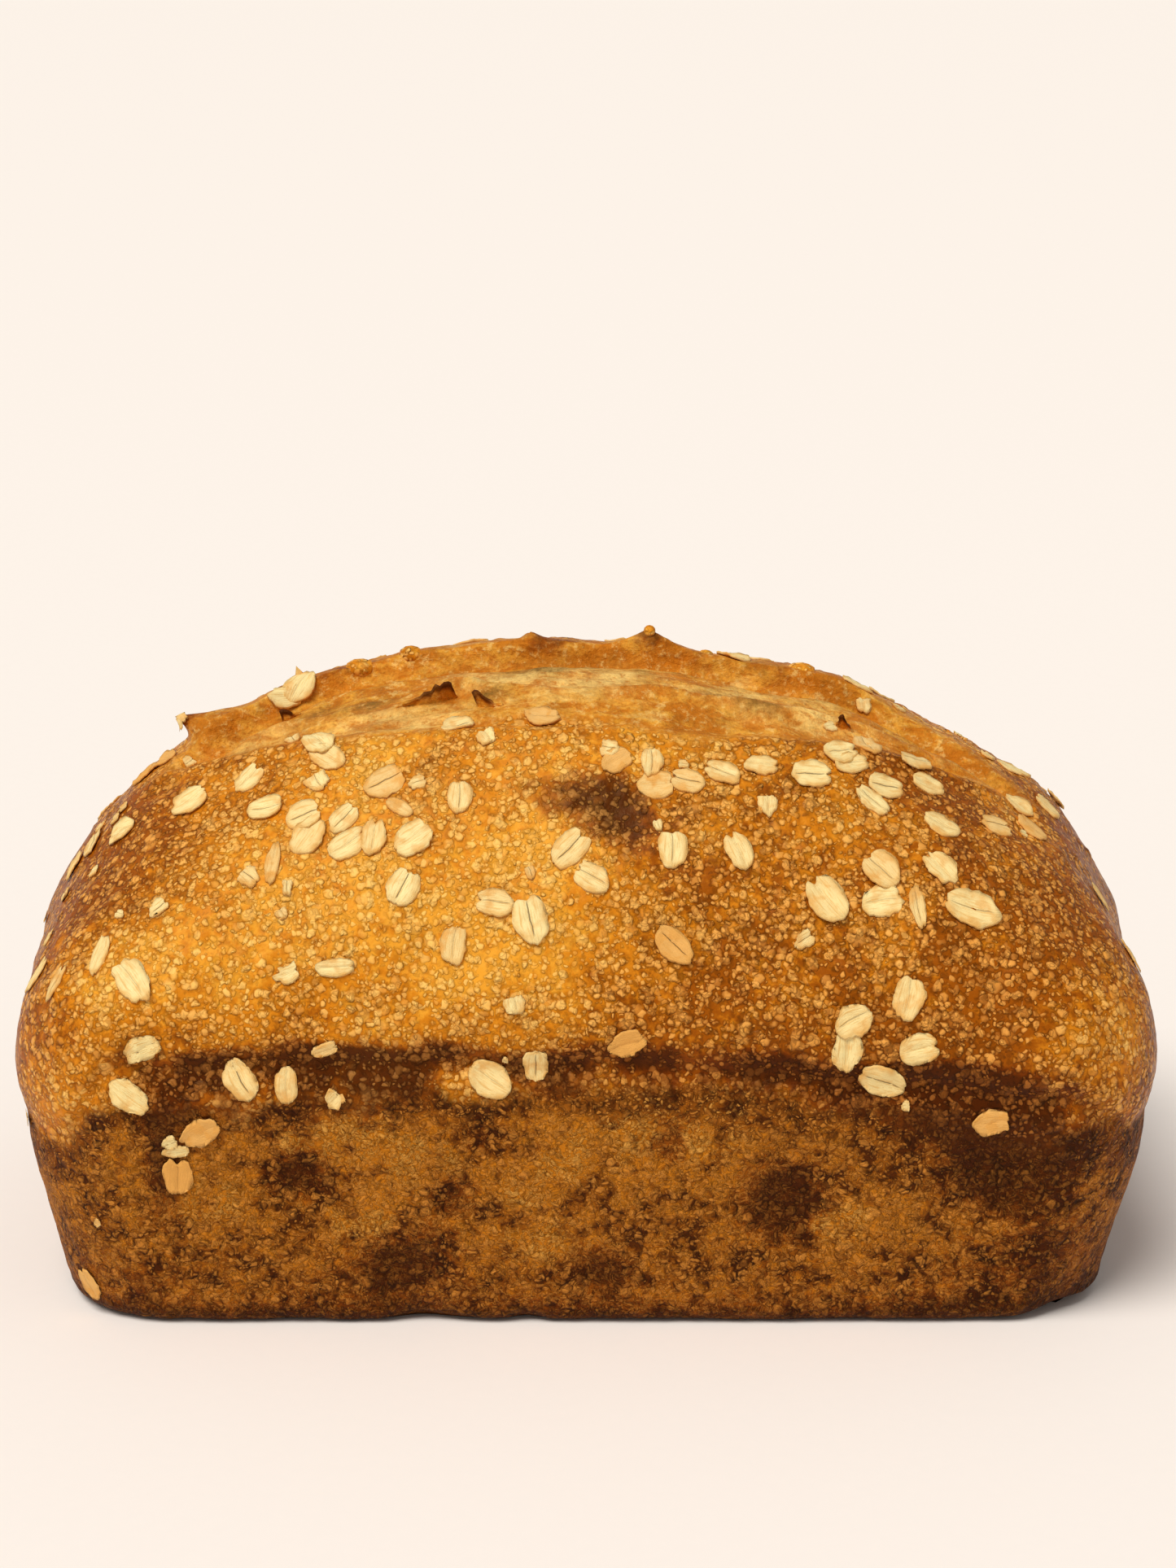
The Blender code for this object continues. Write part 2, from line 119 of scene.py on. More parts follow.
# Cells whose random share is below this have no bubble; the smallest bubble's share of a full one;
# and how much of their height the opened score takes away
BUBBLE_MISSING = 0.25
BUBBLE_SMALLEST = 0.55
BUBBLES_LOST_IN_SCORE = 0.85

# How a bubble's centre is scaled before its random share is read
CELL_RATE = 7.3

# Bubbles fade towards the loaf's ends: from where to where
BUBBLES_FADE_X = (0.114, 0.102)

# Broad swells and hollows of the free crust: centre, reach and height
SWELLS = (
    ((-0.090, -0.010, 0.092), 0.026, 0.0024),
    ((-0.113, 0.000, 0.071), 0.011, 0.0017),
    ((0.115, 0.000, 0.052), 0.018, -0.0018),
    ((0.113, 0.000, 0.073), 0.010, 0.0016),
    ((0.100, -0.045, 0.008), 0.016, -0.0009),
    ((0.074, -0.005, 0.108), 0.022, -0.0022),
    ((0.098, 0.000, 0.094), 0.018, 0.0006),
    ((0.036, 0.002, 0.122), 0.020, -0.0018),
    ((-0.020, 0.030, 0.118), 0.040, 0.0010),
    ((0.040, 0.050, 0.090), 0.030, 0.0012),
    ((-0.060, 0.055, 0.075), 0.028, -0.0010),
)

# Shallow pits in the tin-baked crust of the front: place along the loaf, height, radius, depth
PITS = (
    (-0.0575, 0.0340, 0.0075, 0.0012),
    (-0.0260, 0.0300, 0.0060, 0.0009),
    (-0.0210, 0.0425, 0.0050, 0.0007),
    (0.0165, 0.0415, 0.0060, 0.0009),
    (0.0390, 0.0290, 0.0100, 0.0016),
    (-0.0395, 0.0130, 0.0080, 0.0010),
    (0.0030, 0.0125, 0.0065, 0.0008),
    (0.0820, 0.0335, 0.0090, 0.0010),
)

# How much darker a pit is for each metre of depth, and how far that reaches as a share of its radius
PIT_DARKENING = 760
PIT_DARKENING_REACH = 0.9

# Pale patches of the tin-baked crust, where it lifted off the tin: place, height and radius
PALE_PATCHES = (
    (-0.0440, 0.0430, 0.0070),
    (-0.0330, 0.0380, 0.0060),
    (-0.0550, 0.0430, 0.0050),
    (0.0110, 0.0470, 0.0090),
    (0.0260, 0.0440, 0.0060),
    (-0.0050, 0.0380, 0.0060),
    (-0.0750, 0.0290, 0.0060),
    (-0.0120, 0.0230, 0.0090),
    (0.0500, 0.0230, 0.0060),
    (-0.0450, 0.0240, 0.0060),
)


# How far those patches stretch along the loaf (less is longer), and how they are mottled: waves per
# metre, middling share and swing
PALE_STRETCH = 0.8
PALE_MOTTLE = (210, 0.60, 1.1)

# Pale clouds of the rear: waves per metre, where in the noise, strength and how rare they are
REAR_PALE = (40, (5, 5, 5), 1.6, 0.1)

# Bites out of the base's edge, along the front: how high they reach, then place, half length
# and depth of each
BITE_HEIGHT = 0.006
EDGE_BITES = (
    (-0.0330, 0.0060, 0.0016),
    (-0.0120, 0.0035, 0.0012),
    (0.0960, 0.0060, 0.0015),
)

# The score on top: its middle and half length, the lines of its lip and ear across the loaf, and
# where they meet at its ends; the heights between which it opens, and the shares of its half length
# between which it fades; the lip's height and width, and how steep its sides are
SCORE_MID_X = 0.003
SCORE_HALF_LENGTH = 0.091
LIP_MID_Y = -0.0310
EAR_MID_Y = 0.0065
SCORE_END_Y = -0.0130
SCORE_RISE_Z = (0.085, 0.098)
SCORE_FADE = (1.06, 0.86)
LIP_HEIGHT = 0.0007
LIP_WIDTH = 0.0030
SCORE_SLOPE = 0.0040

# The ear behind the score: where it starts and stops along the loaf, how sharply it steps up, how
# far behind it falls away, its waves per metre and their height, and its middling share and swing
EAR_START_X = (-0.088, -0.072)
EAR_STOP_X = (0.066, 0.046)
EAR_STEP = (-0.0016, 0.0006)
EAR_FALL = 0.014
EAR_WAVE = (110, 0.0012)
EAR_UNEVEN = (0.85, 0.5)

# How far the ear leans over the score, and where across it and how widely that shows
EAR_OVERHANG = (0.0018, 0.0006, 0.0018)

# Where the zones meet: how far the tin crust's edge and the score's edges are blurred, by noise in
# waves per metre and reach, and over which distances they fade into each other
ZONE_DRIFT = ((110, 0.0030), (260, 0.0018))
ZONE_BLUR = (0.0030, -0.0030)
SKIRT_SHARE = 0.75
SKIRT_FADE_X = (0.108, 0.090)
LIP_DRIFT = 0.0026
LIP_FINE_DRIFT = (300, 0.0016)
LIP_BLUR = (-0.0008, 0.0030)
EAR_BLUR = (0.0065, 0.0005)

# The blistered crust reaches into the score from the front: place, half length and how far
CRUST_TONGUE = (-0.0080, 0.0150, 0.0050)

# The torn ridge along the opened score: its place between lip and ear, where it strays towards the
# ear, how it wanders, its ragged height's middling share and swing; and the hollow behind it
RIDGE_SHARE = 0.38
RIDGE_STRAY = (-0.028, 0.012, 0.005)
RIDGE_WANDER = 0.0016
RIDGE_RAGGED = (0.6, 0.8)
RIDGE_HEIGHT = 0.0018
RIDGE_RISE = 0.0050
RIDGE_DROP = 0.0018
HOLLOW_DEPTH = 0.0022
HOLLOW_WIDTH = 0.0034
HOLLOW_SETBACK = 0.0050
STREAK_HEIGHT = 0.0006

# The torn streaks: waves per metre along and across, the lane of the noise, and share of the height
STREAKS = ((45, 330, 1.7, 1.0), (110, 640, 5.2, 0.6))

# Noise that runs along the loaf: waves per metre, then a lane of its own, so that no two vary alike
RIDGE_NOISE = (90, 2.2, 6.1)
RAGGED_NOISE = (60, 3.1, 0.4)
EAR_NOISE = (45, 7.7, 0.0)
EDGE_NOISE = (70, 0.3, 9.1)
EAR_CREST_NOISE = (70, 4.0, 2.0)
LIP_CREST_NOISE = (45, 9.0, 5.0)

# Points drawn out of the crust along the ear: place along and across the loaf, height, reach and
# lean in X and Y. The first is the horn at the ear's left end
DRAWN_POINTS = (
    (-0.0770, -0.0010, 0.0018, 0.0095, -0.0092, -0.0012),
    (0.0128, 0.0070, 0.0037, 0.0110, 0.0004, -0.0010),
    (-0.0110, 0.0065, 0.0024, 0.0042, -0.0012, -0.0006),
)
DRAWN_TAPER = 2.0

# How scorched a drawn point is, and between which shares of its reach that grows
DRAWN_SCORCH = (0.50, 0.95, 0.7)

# Round blisters that stand on the crust along the ear, the first on the tip of the tallest point:
# place along and across the loaf, radius, share of it that they stand high, and how far they sink
KNOBS = (
    (0.0132, 0.0060, 0.0013, 1.00, 0.0004),
    (-0.0475, 0.0060, 0.0034, 0.62, 0.0008),
    (-0.0369, 0.0068, 0.0027, 0.75, 0.0006),
    (0.0449, 0.0060, 0.0034, 0.55, 0.0006),
    (-0.0600, 0.0050, 0.0020, 0.80, 0.0006),
    (0.0250, 0.0080, 0.0018, 0.70, 0.0006),
)
KNOB_BROWN = 0.12
KNOB_WIDTH = 0.8

# Torn flaps that stand in the score: foot along and across the loaf, length, height, where along
# it the tip is, lean in X and Y, and how far the foot slants back from left to right
TORN_FLAPS = (
    (-0.0330, -0.0155, 0.0135, 0.0046, 0.80, 0.0012, -0.0022, 0.0020),
    (-0.0195, -0.0195, 0.0052, 0.0040, 0.12, -0.0016, -0.0012, -0.0016),
    (0.0530, -0.0165, 0.0042, 0.0030, 0.45, -0.0008, -0.0010, 0.0004),
    (-0.0610, -0.0080, 0.0040, 0.0022, 0.30, -0.0014, -0.0006, 0.0006),
)
FLAP_GRID = (18, 6)
FLAP_THICKNESS = 0.0006

# How a flap climbs along its length and curls up its height, as powers; its ragged tip and its
# sagging sheet, as waves and swing; how deep its foot lies; and its browning
FLAP_CLIMB = 1.3
FLAP_CURL = 1.6
FLAP_RAGGED = (900, 0.35)
FLAP_SAG = (7, 5, 300, 0.0005)
FLAP_FOOT = 0.0010
FLAP_BROWN = 0.6

# How scorched a flap's tip is, and between which shares of its height and of its climb that grows
FLAP_SCORCH = 0.85
FLAP_SCORCH_UP = (0.35, 1.0)
FLAP_SCORCH_CLIMB = (0.05, 0.6)

# Browning of the free crust, from gold (0) to deep brown (1): the middling value; between which
# heights it grows towards the rim, and by how much; how it drifts, in waves per metre and share;
# then spots by centre, reach and how much they add. The third spot is a painted highlight
BROWN_MIDDLE = 0.36
BROWN_LOW = (0.080, 0.062, 0.34)
BROWN_DRIFT = ((34, 0.34), (85, 0.24))
BROWNING_AND_HIGHLIGHT_SPOTS = (
    ((-0.045, -0.058, 0.086), 0.036, -0.50),
    ((-0.100, -0.045, 0.066), 0.020, -0.42),
    # A painted highlight: the front's crust made paler where the light's highlight falls
    ((-0.006, -0.055, 0.090), 0.020, -0.26),
    ((0.040, -0.058, 0.076), 0.024, 0.30),
    ((0.080, -0.052, 0.080), 0.030, 0.42),
    ((0.078, -0.018, 0.104), 0.016, 0.50),
    ((0.060, -0.030, 0.108), 0.014, 0.20),
    ((-0.088, -0.034, 0.092), 0.020, 0.55),
    ((-0.114, -0.010, 0.078), 0.030, 0.70),
    ((-0.110, -0.040, 0.078), 0.018, 0.50),
    ((0.114, 0.000, 0.078), 0.034, 0.60),
    ((0.101, -0.050, 0.060), 0.012, -0.50),
    ((-0.062, -0.042, 0.104), 0.012, 0.16),
    ((0.016, -0.046, 0.100), 0.014, 0.26),
    ((-0.030, -0.046, 0.104), 0.010, 0.16),
    ((0.010, 0.058, 0.080), 0.030, -0.30),
    ((0.070, 0.050, 0.085), 0.026, 0.30),
    ((-0.050, 0.050, 0.095), 0.022, 0.35),
    ((-0.080, 0.048, 0.070), 0.022, -0.25),
)

# Scorched spots of the free crust: centre, reach and strength
SCORCHED_SPOTS = (
    ((0.0050, -0.0430, 0.1060), 0.0085, 0.90),
    ((-0.0050, -0.0420, 0.1065), 0.0060, 0.45),
    ((0.0110, -0.0480, 0.1010), 0.0070, 0.35),
    ((-0.0120, -0.0400, 0.1080), 0.0050, 0.22),
    ((0.0500, 0.0420, 0.0990), 0.0100, 0.50),
    ((-0.0350, 0.0500, 0.0900), 0.0090, 0.40),
)

# The tin crust darkens towards the base, as a painted shadow along the base's edge and painted shade
# over the lowest crust, and at both ends of the front: between which heights or places, and by how
# much
TIN_SHADE_LOW = ((0.008, 0.0, 0.50), (0.028, 0.008, 0.34))
TIN_DARK_RIGHT = (0.052, 0.085, 0.24)
TIN_DARK_LEFT = (0.070, 0.092, 0.14)

# How much darker its fine-grained stretch is, and the dark clouds of the rear: waves per metre,
# how rare they are, and strength
FINE_DARK = 0.26
REAR_CLOUDS = (46, 0.15, 0.9)

# Browned crests, along the ear and along the lip: how far behind the line, width, strength, then
# the middling share and its swing along the loaf; and how the lip's crest wanders
EAR_CREST = (0.0010, 0.0026, 0.75, 0.35, 1.3)
LIP_CREST = (-0.0005, 0.0030, 0.60, 0.30, 1.3)
LIP_CREST_WANDER = (150, 0.0020)

# The dark band along the rim, caramelised crust with painted shade under the bulge over the crease:
# its rise and its reach above, then along the front each stretch's middle, half length, strength and
# how far down the crust it goes
RIM_BAND_RISE = 0.0014
RIM_BAND_ABOVE = 0.0040
RIM_BAND = (
    (-0.0900, 0.0080, 0.35, 0.0090),
    (-0.0740, 0.0100, 0.95, 0.0120),
    (-0.0500, 0.0140, 0.95, 0.0105),
    (-0.0280, 0.0120, 0.95, 0.0070),
    (-0.0080, 0.0090, 0.90, 0.0055),
    (0.0100, 0.0110, 0.85, 0.0042),
    (0.0350, 0.0120, 0.90, 0.0045),
    (0.0550, 0.0120, 0.95, 0.0060),
    (0.0720, 0.0110, 1.05, 0.0100),
    (0.0900, 0.0090, 1.00, 0.0120),
)
REAR_BAND_BELOW = 0.0060

# The crust belongs to the front from this place across the loaf on
FRONT_Y = -0.03

# How the band wavers up and down and in strength, in waves per metre and reach or share, and
# between which strengths it stays; round the rear its strength only drifts about a middling one
BAND_WAVER = (120, 0.0022)
BAND_MOTTLE = (150, 0.5)
BAND_STRENGTHS = (0.10, 1.05)
BAND_LEAST_SHARE = 0.2
REAR_BAND = (30, 0.55, 1.3)
REAR_BAND_LANE = (2.0, 0.0, 0.6)

# Below the rim the tin crust is fine-grained at first: from where to where that fades
FINE_GRAIN = (0.0160, 0.0070)
FINE_GRAIN_DRIFT = (70, 0.0050)

# Dark streaks of the front, below and along the rim: place, height, half width, half height and
# strength. The fourth is painted shade of the rim crease on the right
FRONT_STREAKS_AND_SHADE = (
    (-0.0835, 0.0380, 0.0035, 0.0130, 0.95),
    (0.0800, 0.0360, 0.0130, 0.0060, 0.55),
    (0.0750, 0.0465, 0.0120, 0.0045, 0.60),
    # Painted shade of the rim crease
    (0.0710, 0.0565, 0.0135, 0.0030, 0.90),
    (0.0930, 0.0250, 0.0070, 0.0120, 0.35),
    (-0.0310, 0.0200, 0.0060, 0.0080, 0.35),
)

# Pale patches of the opened score, then smudges of painted shadow, dull and olive, in its hollows
# under the ear: place along and across the loaf, and reach
SCORE_PALE = (
    (-0.0030, -0.0120, 0.0060),
    (0.0060, -0.0080, 0.0060),
    (0.0380, -0.0120, 0.0070),
    (0.0500, -0.0150, 0.0055),
    (-0.0190, -0.0090, 0.0060),
    (-0.0440, -0.0210, 0.0050),
    (-0.0340, -0.0230, 0.0050),
    (-0.0690, -0.0180, 0.0060),
)
SCORE_SHADOWS = (
    (-0.0110, -0.0040, 0.0040),
    (-0.0040, -0.0030, 0.0045),
    (0.0130, -0.0060, 0.0026),
    (0.0280, -0.0130, 0.0026),
    (0.0350, -0.0170, 0.0024),
    (-0.0450, -0.0130, 0.0028),
    (-0.0720, -0.0200, 0.0030),
    (-0.0560, -0.0110, 0.0026),
    (-0.0200, -0.0160, 0.0022),
)

# How far those patches stretch along the loaf, and how they are mottled: waves per metre,
# middling share and swing. A score fainter than SCORE_FAINT has no pale patches
SCORE_PALE_STRETCH = 0.6
SCORE_PALE_MOTTLE = (160, 0.75, 0.8)
SCORE_SHADOW_STRETCH = 0.55
SCORE_SHADOW_MOTTLE = (240, 0.8, 0.9)
SCORE_FAINT = 0.05

# Rolled oats. A row is a flake's place along the loaf in mm, its angle round it in degrees (0 at
# the front, 90 on top), its turn from the loaf's length in degrees and its length in mm
WHOLE_OATS = (
    (-106, 70, 36, 7.5), (-102, 70, 88, 8), (-95, 63, 175, 8), (-80, 63, 31, 8.5), (-68, 65, 43, 7.5),
    (-63, 89, 26, 7), (-60, 91, 61, 9), (-54, 69, 123, 8.5), (-52, 65, 137, 9), (-64, 56, 0, 8),
    (-56, 53, 20, 8), (-55, 49, 59, 9), (-48, 52, 47, 7.5), (-47, 47, 36, 9), (-42, 48, 81, 7.5),
    (-40, 58, 26, 9), (-34, 47, 32, 8.5), (-36, 39, 62, 8), (-26, 69, 24, 7), (-25, 54, 89, 7),
    (-89, 23, 129, 10), (-87, 11, 26, 7.5), (-90, 2, 142, 9), (-68, 5, 119, 8.5), (-59, 4, 90, 7),
    (-26, 29, 84, 8), (-18, 36, 172, 8), (-11, 33, 102, 9.5), (-19, 5, 145, 9), (-10, 8, 90, 7.5),
    (-3, 45, 47, 10), (1, 40, 149, 8), (13, 60, 91, 7), (14, 56, 9, 8), (20, 57, 166, 7.5),
    (27, 59, 160, 7.5), (35, 61, 4, 7), (45, 60, 7, 8.5), (17, 45, 91, 8), (30, 45, 116, 8),
    (51, 66, 25, 7.5), (53, 64, 25, 7.5), (57, 71, 101, 9), (60, 61, 6, 8), (57, 57, 144, 7.5),
    (58, 43, 137, 9), (58, 37, 12, 9), (47, 37, 127, 10), (67, 70, 22, 8), (69, 65, 178, 7.5),
    (71, 54, 160, 8), (70, 44, 136, 8), (76, 36, 167, 11), (83, 59, 9, 7.5), (89, 73, 162, 7),
    (63, 20, 79, 9), (65, 11, 13, 8), (52, 16, 29, 8), (51, 11, 88, 9), (58, 5, 159, 10),
    (31, 97, 139, 8), (57, 96, 20, 8), (90, 95, 30, 8.5), (96, 81, 161, 7),
)
TOASTED_OATS = (
    (91, 64, 134, 8), (17, 29, 137, 9), (6, 60, 35, 7), (8, 12, 17, 7.5), (-9, 70, 173, 7),
    (-88, 85, 139, 7), (-92, 84, 38, 7), (80, -3, 6, 8), (-76, -5, 28, 8.5), (-81, -14, 87, 8),
    (-101, -40, 141, 7.5),
)
SLIM_OATS = (
    (-62, 44, 81, 8.5), (-49, 25, 3, 8), (-51, 11, 22, 6), (-96, 28, 91, 9.5), (-110, 26, 59, 9),
    (-105, 23, 77, 8), (65, 36, 98, 9), (105, 53, 150, 8), (110, 31, 116, 8), (-81, -9, 6, 5.5),
    (-37, 53, 145, 6.5),
)
BROKEN_OATS = (
    (-82, 79, 49, 3), (-60, 74, 111, 5), (-95, 72, 9, 3.5), (-97, 70, 162, 4), (-100, 54, 2, 3),
    (-67, 42, 142, 5), (-54, 60, 116, 5.5), (-33, 57, 19, 4.5), (-20, 65, 118, 5), (-11, 41, 112, 3),
    (19, 60, 175, 3), (36, 54, 90, 5.5), (50, 75, 37, 4), (14, 49, 114, 3), (58, 92, 111, 4.5),
    (89, 60, 5, 2.5), (-59, 40, 87, 4), (-60, 35, 124, 3.5), (-84, 37, 45, 5), (-93, 37, 156, 3),
    (-107, 54, 129, 4), (-113, 65, 123, 3), (-109, 38, 104, 5), (-58, 24, 21, 5.5), (-14, 19, 104, 4.5),
    (-49, 2, 50, 5), (-16, 9, 152, 1.5), (43, 30, 34, 5), (63, 0, 4, 2), (-98, -25, 165, 2),
    (-85, 88, 10, 4.5), (66, 97, 60, 4), (84, 92, 130, 4.5), (-101, 78, 60, 4),
    (4, 62, 169, 5), (-82, -7, 22, 3.5), (-113, -12, 90, 4),
)

# Width of a slim flake as a share of its length, the least and most size of a scattered one, how
# deep a flake sinks, its thickness, how closely it follows the crust, and its grid
SLIM_WIDTH_SHARE = 0.38
OAT_SIZES = (0.80, 1.12)
OAT_SINK = 0.00012
OAT_THICKNESS = 0.00055
OAT_FOLLOWS_CRUST = 0.6
OAT_GRID = (10, 8)

# How brown a toasted flake is, and on top of it each flake's own browning: its middle and spread,
# and the most; then how strongly a flake's crease shows
OAT_TOASTED = 0.75
OAT_TOASTING = (0.12, 0.16)
OAT_MOST_TOASTED = 0.5
CREASE_SHARES = (0.0, 0.3, 0.6, 1.0)

# How one flake's outline differs from the plain oval, as the least and most of each draw, whole
# and broken; a blunt end is a share of half the length
OAT_WIDTHS = (0.86, 1.12)
OAT_RAGGED = ((0.10, 0.20), (0.20, 0.36))
OAT_BLUNT_WHOLE = (0.72, 0.85, 1.0, 1.0)
OAT_BLUNT_BROKEN = (0.10, 0.55)
OAT_NOTCHES = (0.0, 0.12, 0.30)
OAT_SKEWS = (-0.14, 0.14)
OAT_CREASES = (0.03, 0.16)
OAT_CURLS_ALONG = (-0.10, 0.40)
OAT_CURLS_ACROSS = (-0.15, 0.45)
OAT_PHASES = (0, 100)

# The flake's plain shape, in halves of its length or width: how its grid crowds to the middle, the
# waves of its ragged edge and of its uneven flat as rate, lane and share, the teeth of a blunt end
# with how far that end is pressed in, the notch's and the crease's width, how much of each curl
# shows, and the share of half its width that its rise is worth
OAT_CROWDING = 1.4
OAT_EDGE_WAVES = ((1.6, 0.0, 1.0), (4.0, 3.0, 0.8))
OAT_FLAT_WAVE = (2.6, 2.0, 0.12)
OAT_TEETH = (5, 8.0, 0.12)
OAT_TEETH_FROM = (0.6, 1.0)
OAT_PRESSED = 0.22
OAT_NOTCH_WIDTH = 0.20
OAT_NOTCH_FROM = (0.4, 1.0)
OAT_CREASE_WIDTH = 0.16
OAT_CURL_SHARES = (0.5, 0.6)
OAT_RISE_SHARE = 0.8

# From how far over the flake the crust under it is looked for, and how far down
OAT_LOOK_FROM = 0.004
OAT_LOOK_REACH = 0.008

# The rear carries oats as the front does: how many are tried, the room that each keeps from the
# next, how far along the loaf and between which angles they fall, and the girth those span
SCATTER_TRIES = 260
SCATTER_ROOM = 0.0150
SCATTER_REACH_X = 0.110
SCATTER_ANGLES = (100, 182)
SCATTER_RADIUS = 0.062
BROKEN_SCATTER_TRIES = 60
BROKEN_ROOM = 0.0090
BROKEN_SIZES = (0.25, 0.55)
BROKEN_WIDTH_SHARES = (0.55, 0.85)

# The solid's source draws a tilt for each whole oat. The same draw is made and left unused here, so
# that both put every scattered oat in the same place
SPARE_DRAW = (-1, 1)

# Layers of blisters: rate per metre, size, how many are missing, strength of colour, how dark the
# painted shade round each one's foot is, and height
BLISTER_LAYERS = (
    (310.0, 0.58, 0.60, 0.55, 0.18, 0.00038),
    (560.0, 0.66, 0.08, 0.90, 0.32, 0.00040),
    (980.0, 0.64, 0.26, 0.80, 0.32, 0.00020),
)

# Layers of grain on the tin crust: rate per metre, size, how many are missing, strength of colour
# near the rim and lower down, and height; then how far painted shade round each grain's foot darkens it
GRAIN_LAYERS = (
    (400.0, 0.56, 0.60, 0.05, 0.60, 0.00040),
    (720.0, 0.66, 0.20, 0.18, 0.90, 0.00034),
    (1350.0, 0.68, 0.22, 0.80, 0.60, 0.00016),
)
GRAIN_FOOT_SHADE = -0.34

# One blister: how its radius spreads (factor and base), and the power of its dome
BLISTER_SPREAD = (0.62, 0.42)
BLISTER_DOME = 0.6

# The free crust's browning: how far it drifts in patches, the middle of the gaps between blisters
# and how far they deepen it, how much of the darkening by scorching and painted shade the blisters
# take, the crowding that makes them rare, from how many missing to how many, and the faintest
# blister's share of strength
BROWNING_SWING = 1.1
GAP_MIDDLE = 0.42
GAP_SWING = 1.6
BLISTER_DARKENING = 0.66
CROWDING = (0.32, 0.70)
BARENESS_SWING = (-0.12, 0.26)
FAINTEST_BLISTER = 0.25

# The tin crust's grain: the middle and swing of its broad patches, what paleness adds to its lumps,
# what lumps and patches count for near the rim and on what base, and how strong its curls are
# lower down and near the rim
PATCH_MIDDLE = 0.47
PATCH_SWING = 0.85
PALE_LUMPS = 0.24
SANDY_LUMPS = 0.6
SANDY_PATCHES = (0.5, 0.14)
CURL_STRENGTHS = (0.75, 0.05)

# How raggedly the darkening by scorching and painted shade ends; roughness of the crust by its flecks
# and on what base, and how much rougher it is on the tin side and in the score; and its faint warm
# sheen
DARKENING_RAGGED = 0.9
CRUST_ROUGHNESS = (0.24, 0.28)
TIN_ROUGHER = 0.22
SCORE_ROUGHER = 0.12
CRUST_SHEEN = 0.16
CRUST_SHEEN_TINT = (1.0, 0.62, 0.30, 1.0)

# The oats: how their crease sways across them and on what base, what edges and fibres count for,
# how dark the crease is, and their sheen
CREASE_SWAY = (0.16, -0.58)
EDGE_SHARE = 0.75
FIBRE_SHARE = 0.60
CREASE_DARKNESS = 0.7
OAT_SHEEN = 0.25

# The floor: its darkest grain as a share of its colour, roughness and sheen
FLOOR_DARKEST = 0.985
FLOOR_ROUGHNESS = 0.9
FLOOR_SHEEN = 0.1

# The browner tint that scorching and painted shade take the crust's colour through
DARKENING_TINT = (0.56, 0.42, 0.36)

# Random patterns of the materials: rate per metre, detail, roughness and distortion
PATTERNS = {
    "browning": (75.0, 3.0, 0.6),
    "gaps": (480.0, 3.0, 0.62),
    "crowding": (120.0, 2.0),
    "tin patches": (105.0, 3.0, 0.6),
    "tin lumps": (300.0, 4.0, 0.66),
    "tin curls": (260.0, 3.0, 0.6, 2.6),
    "score streaks": (230.0, 4.0, 0.66, 1.0),
    "score clouds": (130.0, 4.0, 0.62),
    "score specks": (520.0, 4.0, 0.72),
    "flecks": (380.0, 3.0, 0.6),
    "oat fibres": (1.0, 3.0, 0.6, 0.4),
    "oat patches": (330.0, 2.0),
    "floor grain": (300.0, 2.0),
}
STREAK_STRETCH = (0.55, 1.0, 1.0)
CLOUD_STRETCH = (0.70, 1.0, 1.0)
FIBRE_STRETCH = (1.8, 14.0, 1.0)

# How blisters and grain lose their true roundness: rate per metre of the shaking, and its reach
BLISTER_SHAKE = (650.0, 0.0013)
GRAIN_SHAKE = (420.0, 0.0026)

# Ramps of the materials: the values between which each rises, then what it rises from and to
# where that isn't 0 and 1
RAMPS = {
    "blister": (1.06, 0.50),
    # Where the painted shade round a blister's or a grain's foot begins and ends
    "ring begins": (0.70, 1.10),
    "ring ends": (1.70, 1.15),
    "scorch tint": (0.0, 0.55),
    # How far scorching and painted shade take a colour to the darkest caramelised colour
    "caramel_and_shade": (0.40, 1.0, 0.0, 0.9),
    "amber over gold": (0.0, 0.50),
    "brown over amber": (0.45, 1.05),
    "brown blisters": (0.05, 0.9),
    # How dark the painted shade round a blister's foot is, by browning
    "blister foot shade": (0.0, 0.8, 0.50, 1.0),
    "tin strands": (0.040, 0.0),
    "brown over dark": (0.38, 0.50),
    "orange over brown": (0.50, 0.64, 0.0, 0.95),
    "grain under scorch": (0.15, 1.0, 1.0, 0.24),
    "pale grain": (0.1, 0.8),
    "curls on lumps": (0.42, 0.60),
    "torn gold": (0.36, 0.58),
    "torn brown clouds": (0.56, 0.40, 0.0, 0.85),
    "torn pale clouds": (0.54, 0.70, 0.0, 0.45),
    "torn pale streaks": (0.38, 0.56, 0.35, 0.90),
    "torn pale specks": (0.52, 0.68, 0.0, 0.60),
    "torn brown specks": (0.48, 0.32, 0.0, 0.80),
    "torn shadow specks": (0.66, 0.36, 0.30, 0.95),
    "browned score": (0.5, 1.0, 0.0, 0.6),
    "darkening": (0.05, 1.0),
    "burnt from": (0.02, 0.2),
    "crease across": (0.045, 0.012),
    "crease along": (0.44, 0.30),
    "oat edge across": (0.26, 0.5),
    "oat edge along": (0.30, 0.5),
    "patchy oat edge": (0.35, 0.60, 0.35, 1.0),
    "fibre lines": (0.44, 0.66),
    "tanned oat patches": (0.50, 0.72, 0.0, 0.55),
    "oat roughness": (0.2, 0.8, 0.55, 0.78),
}

# Heights of the materials' relief, in metres
GAP_RELIEF = 0.00022
LUMP_RELIEF = 0.00120
CURL_RELIEF = 0.00022
SPECK_RELIEF = 0.00060
STREAK_RELIEF = 0.00070
CREASE_RELIEF = -0.00016
FIBRE_RELIEF = 0.00020
OAT_GRAIN_RELIEF = 0.00008

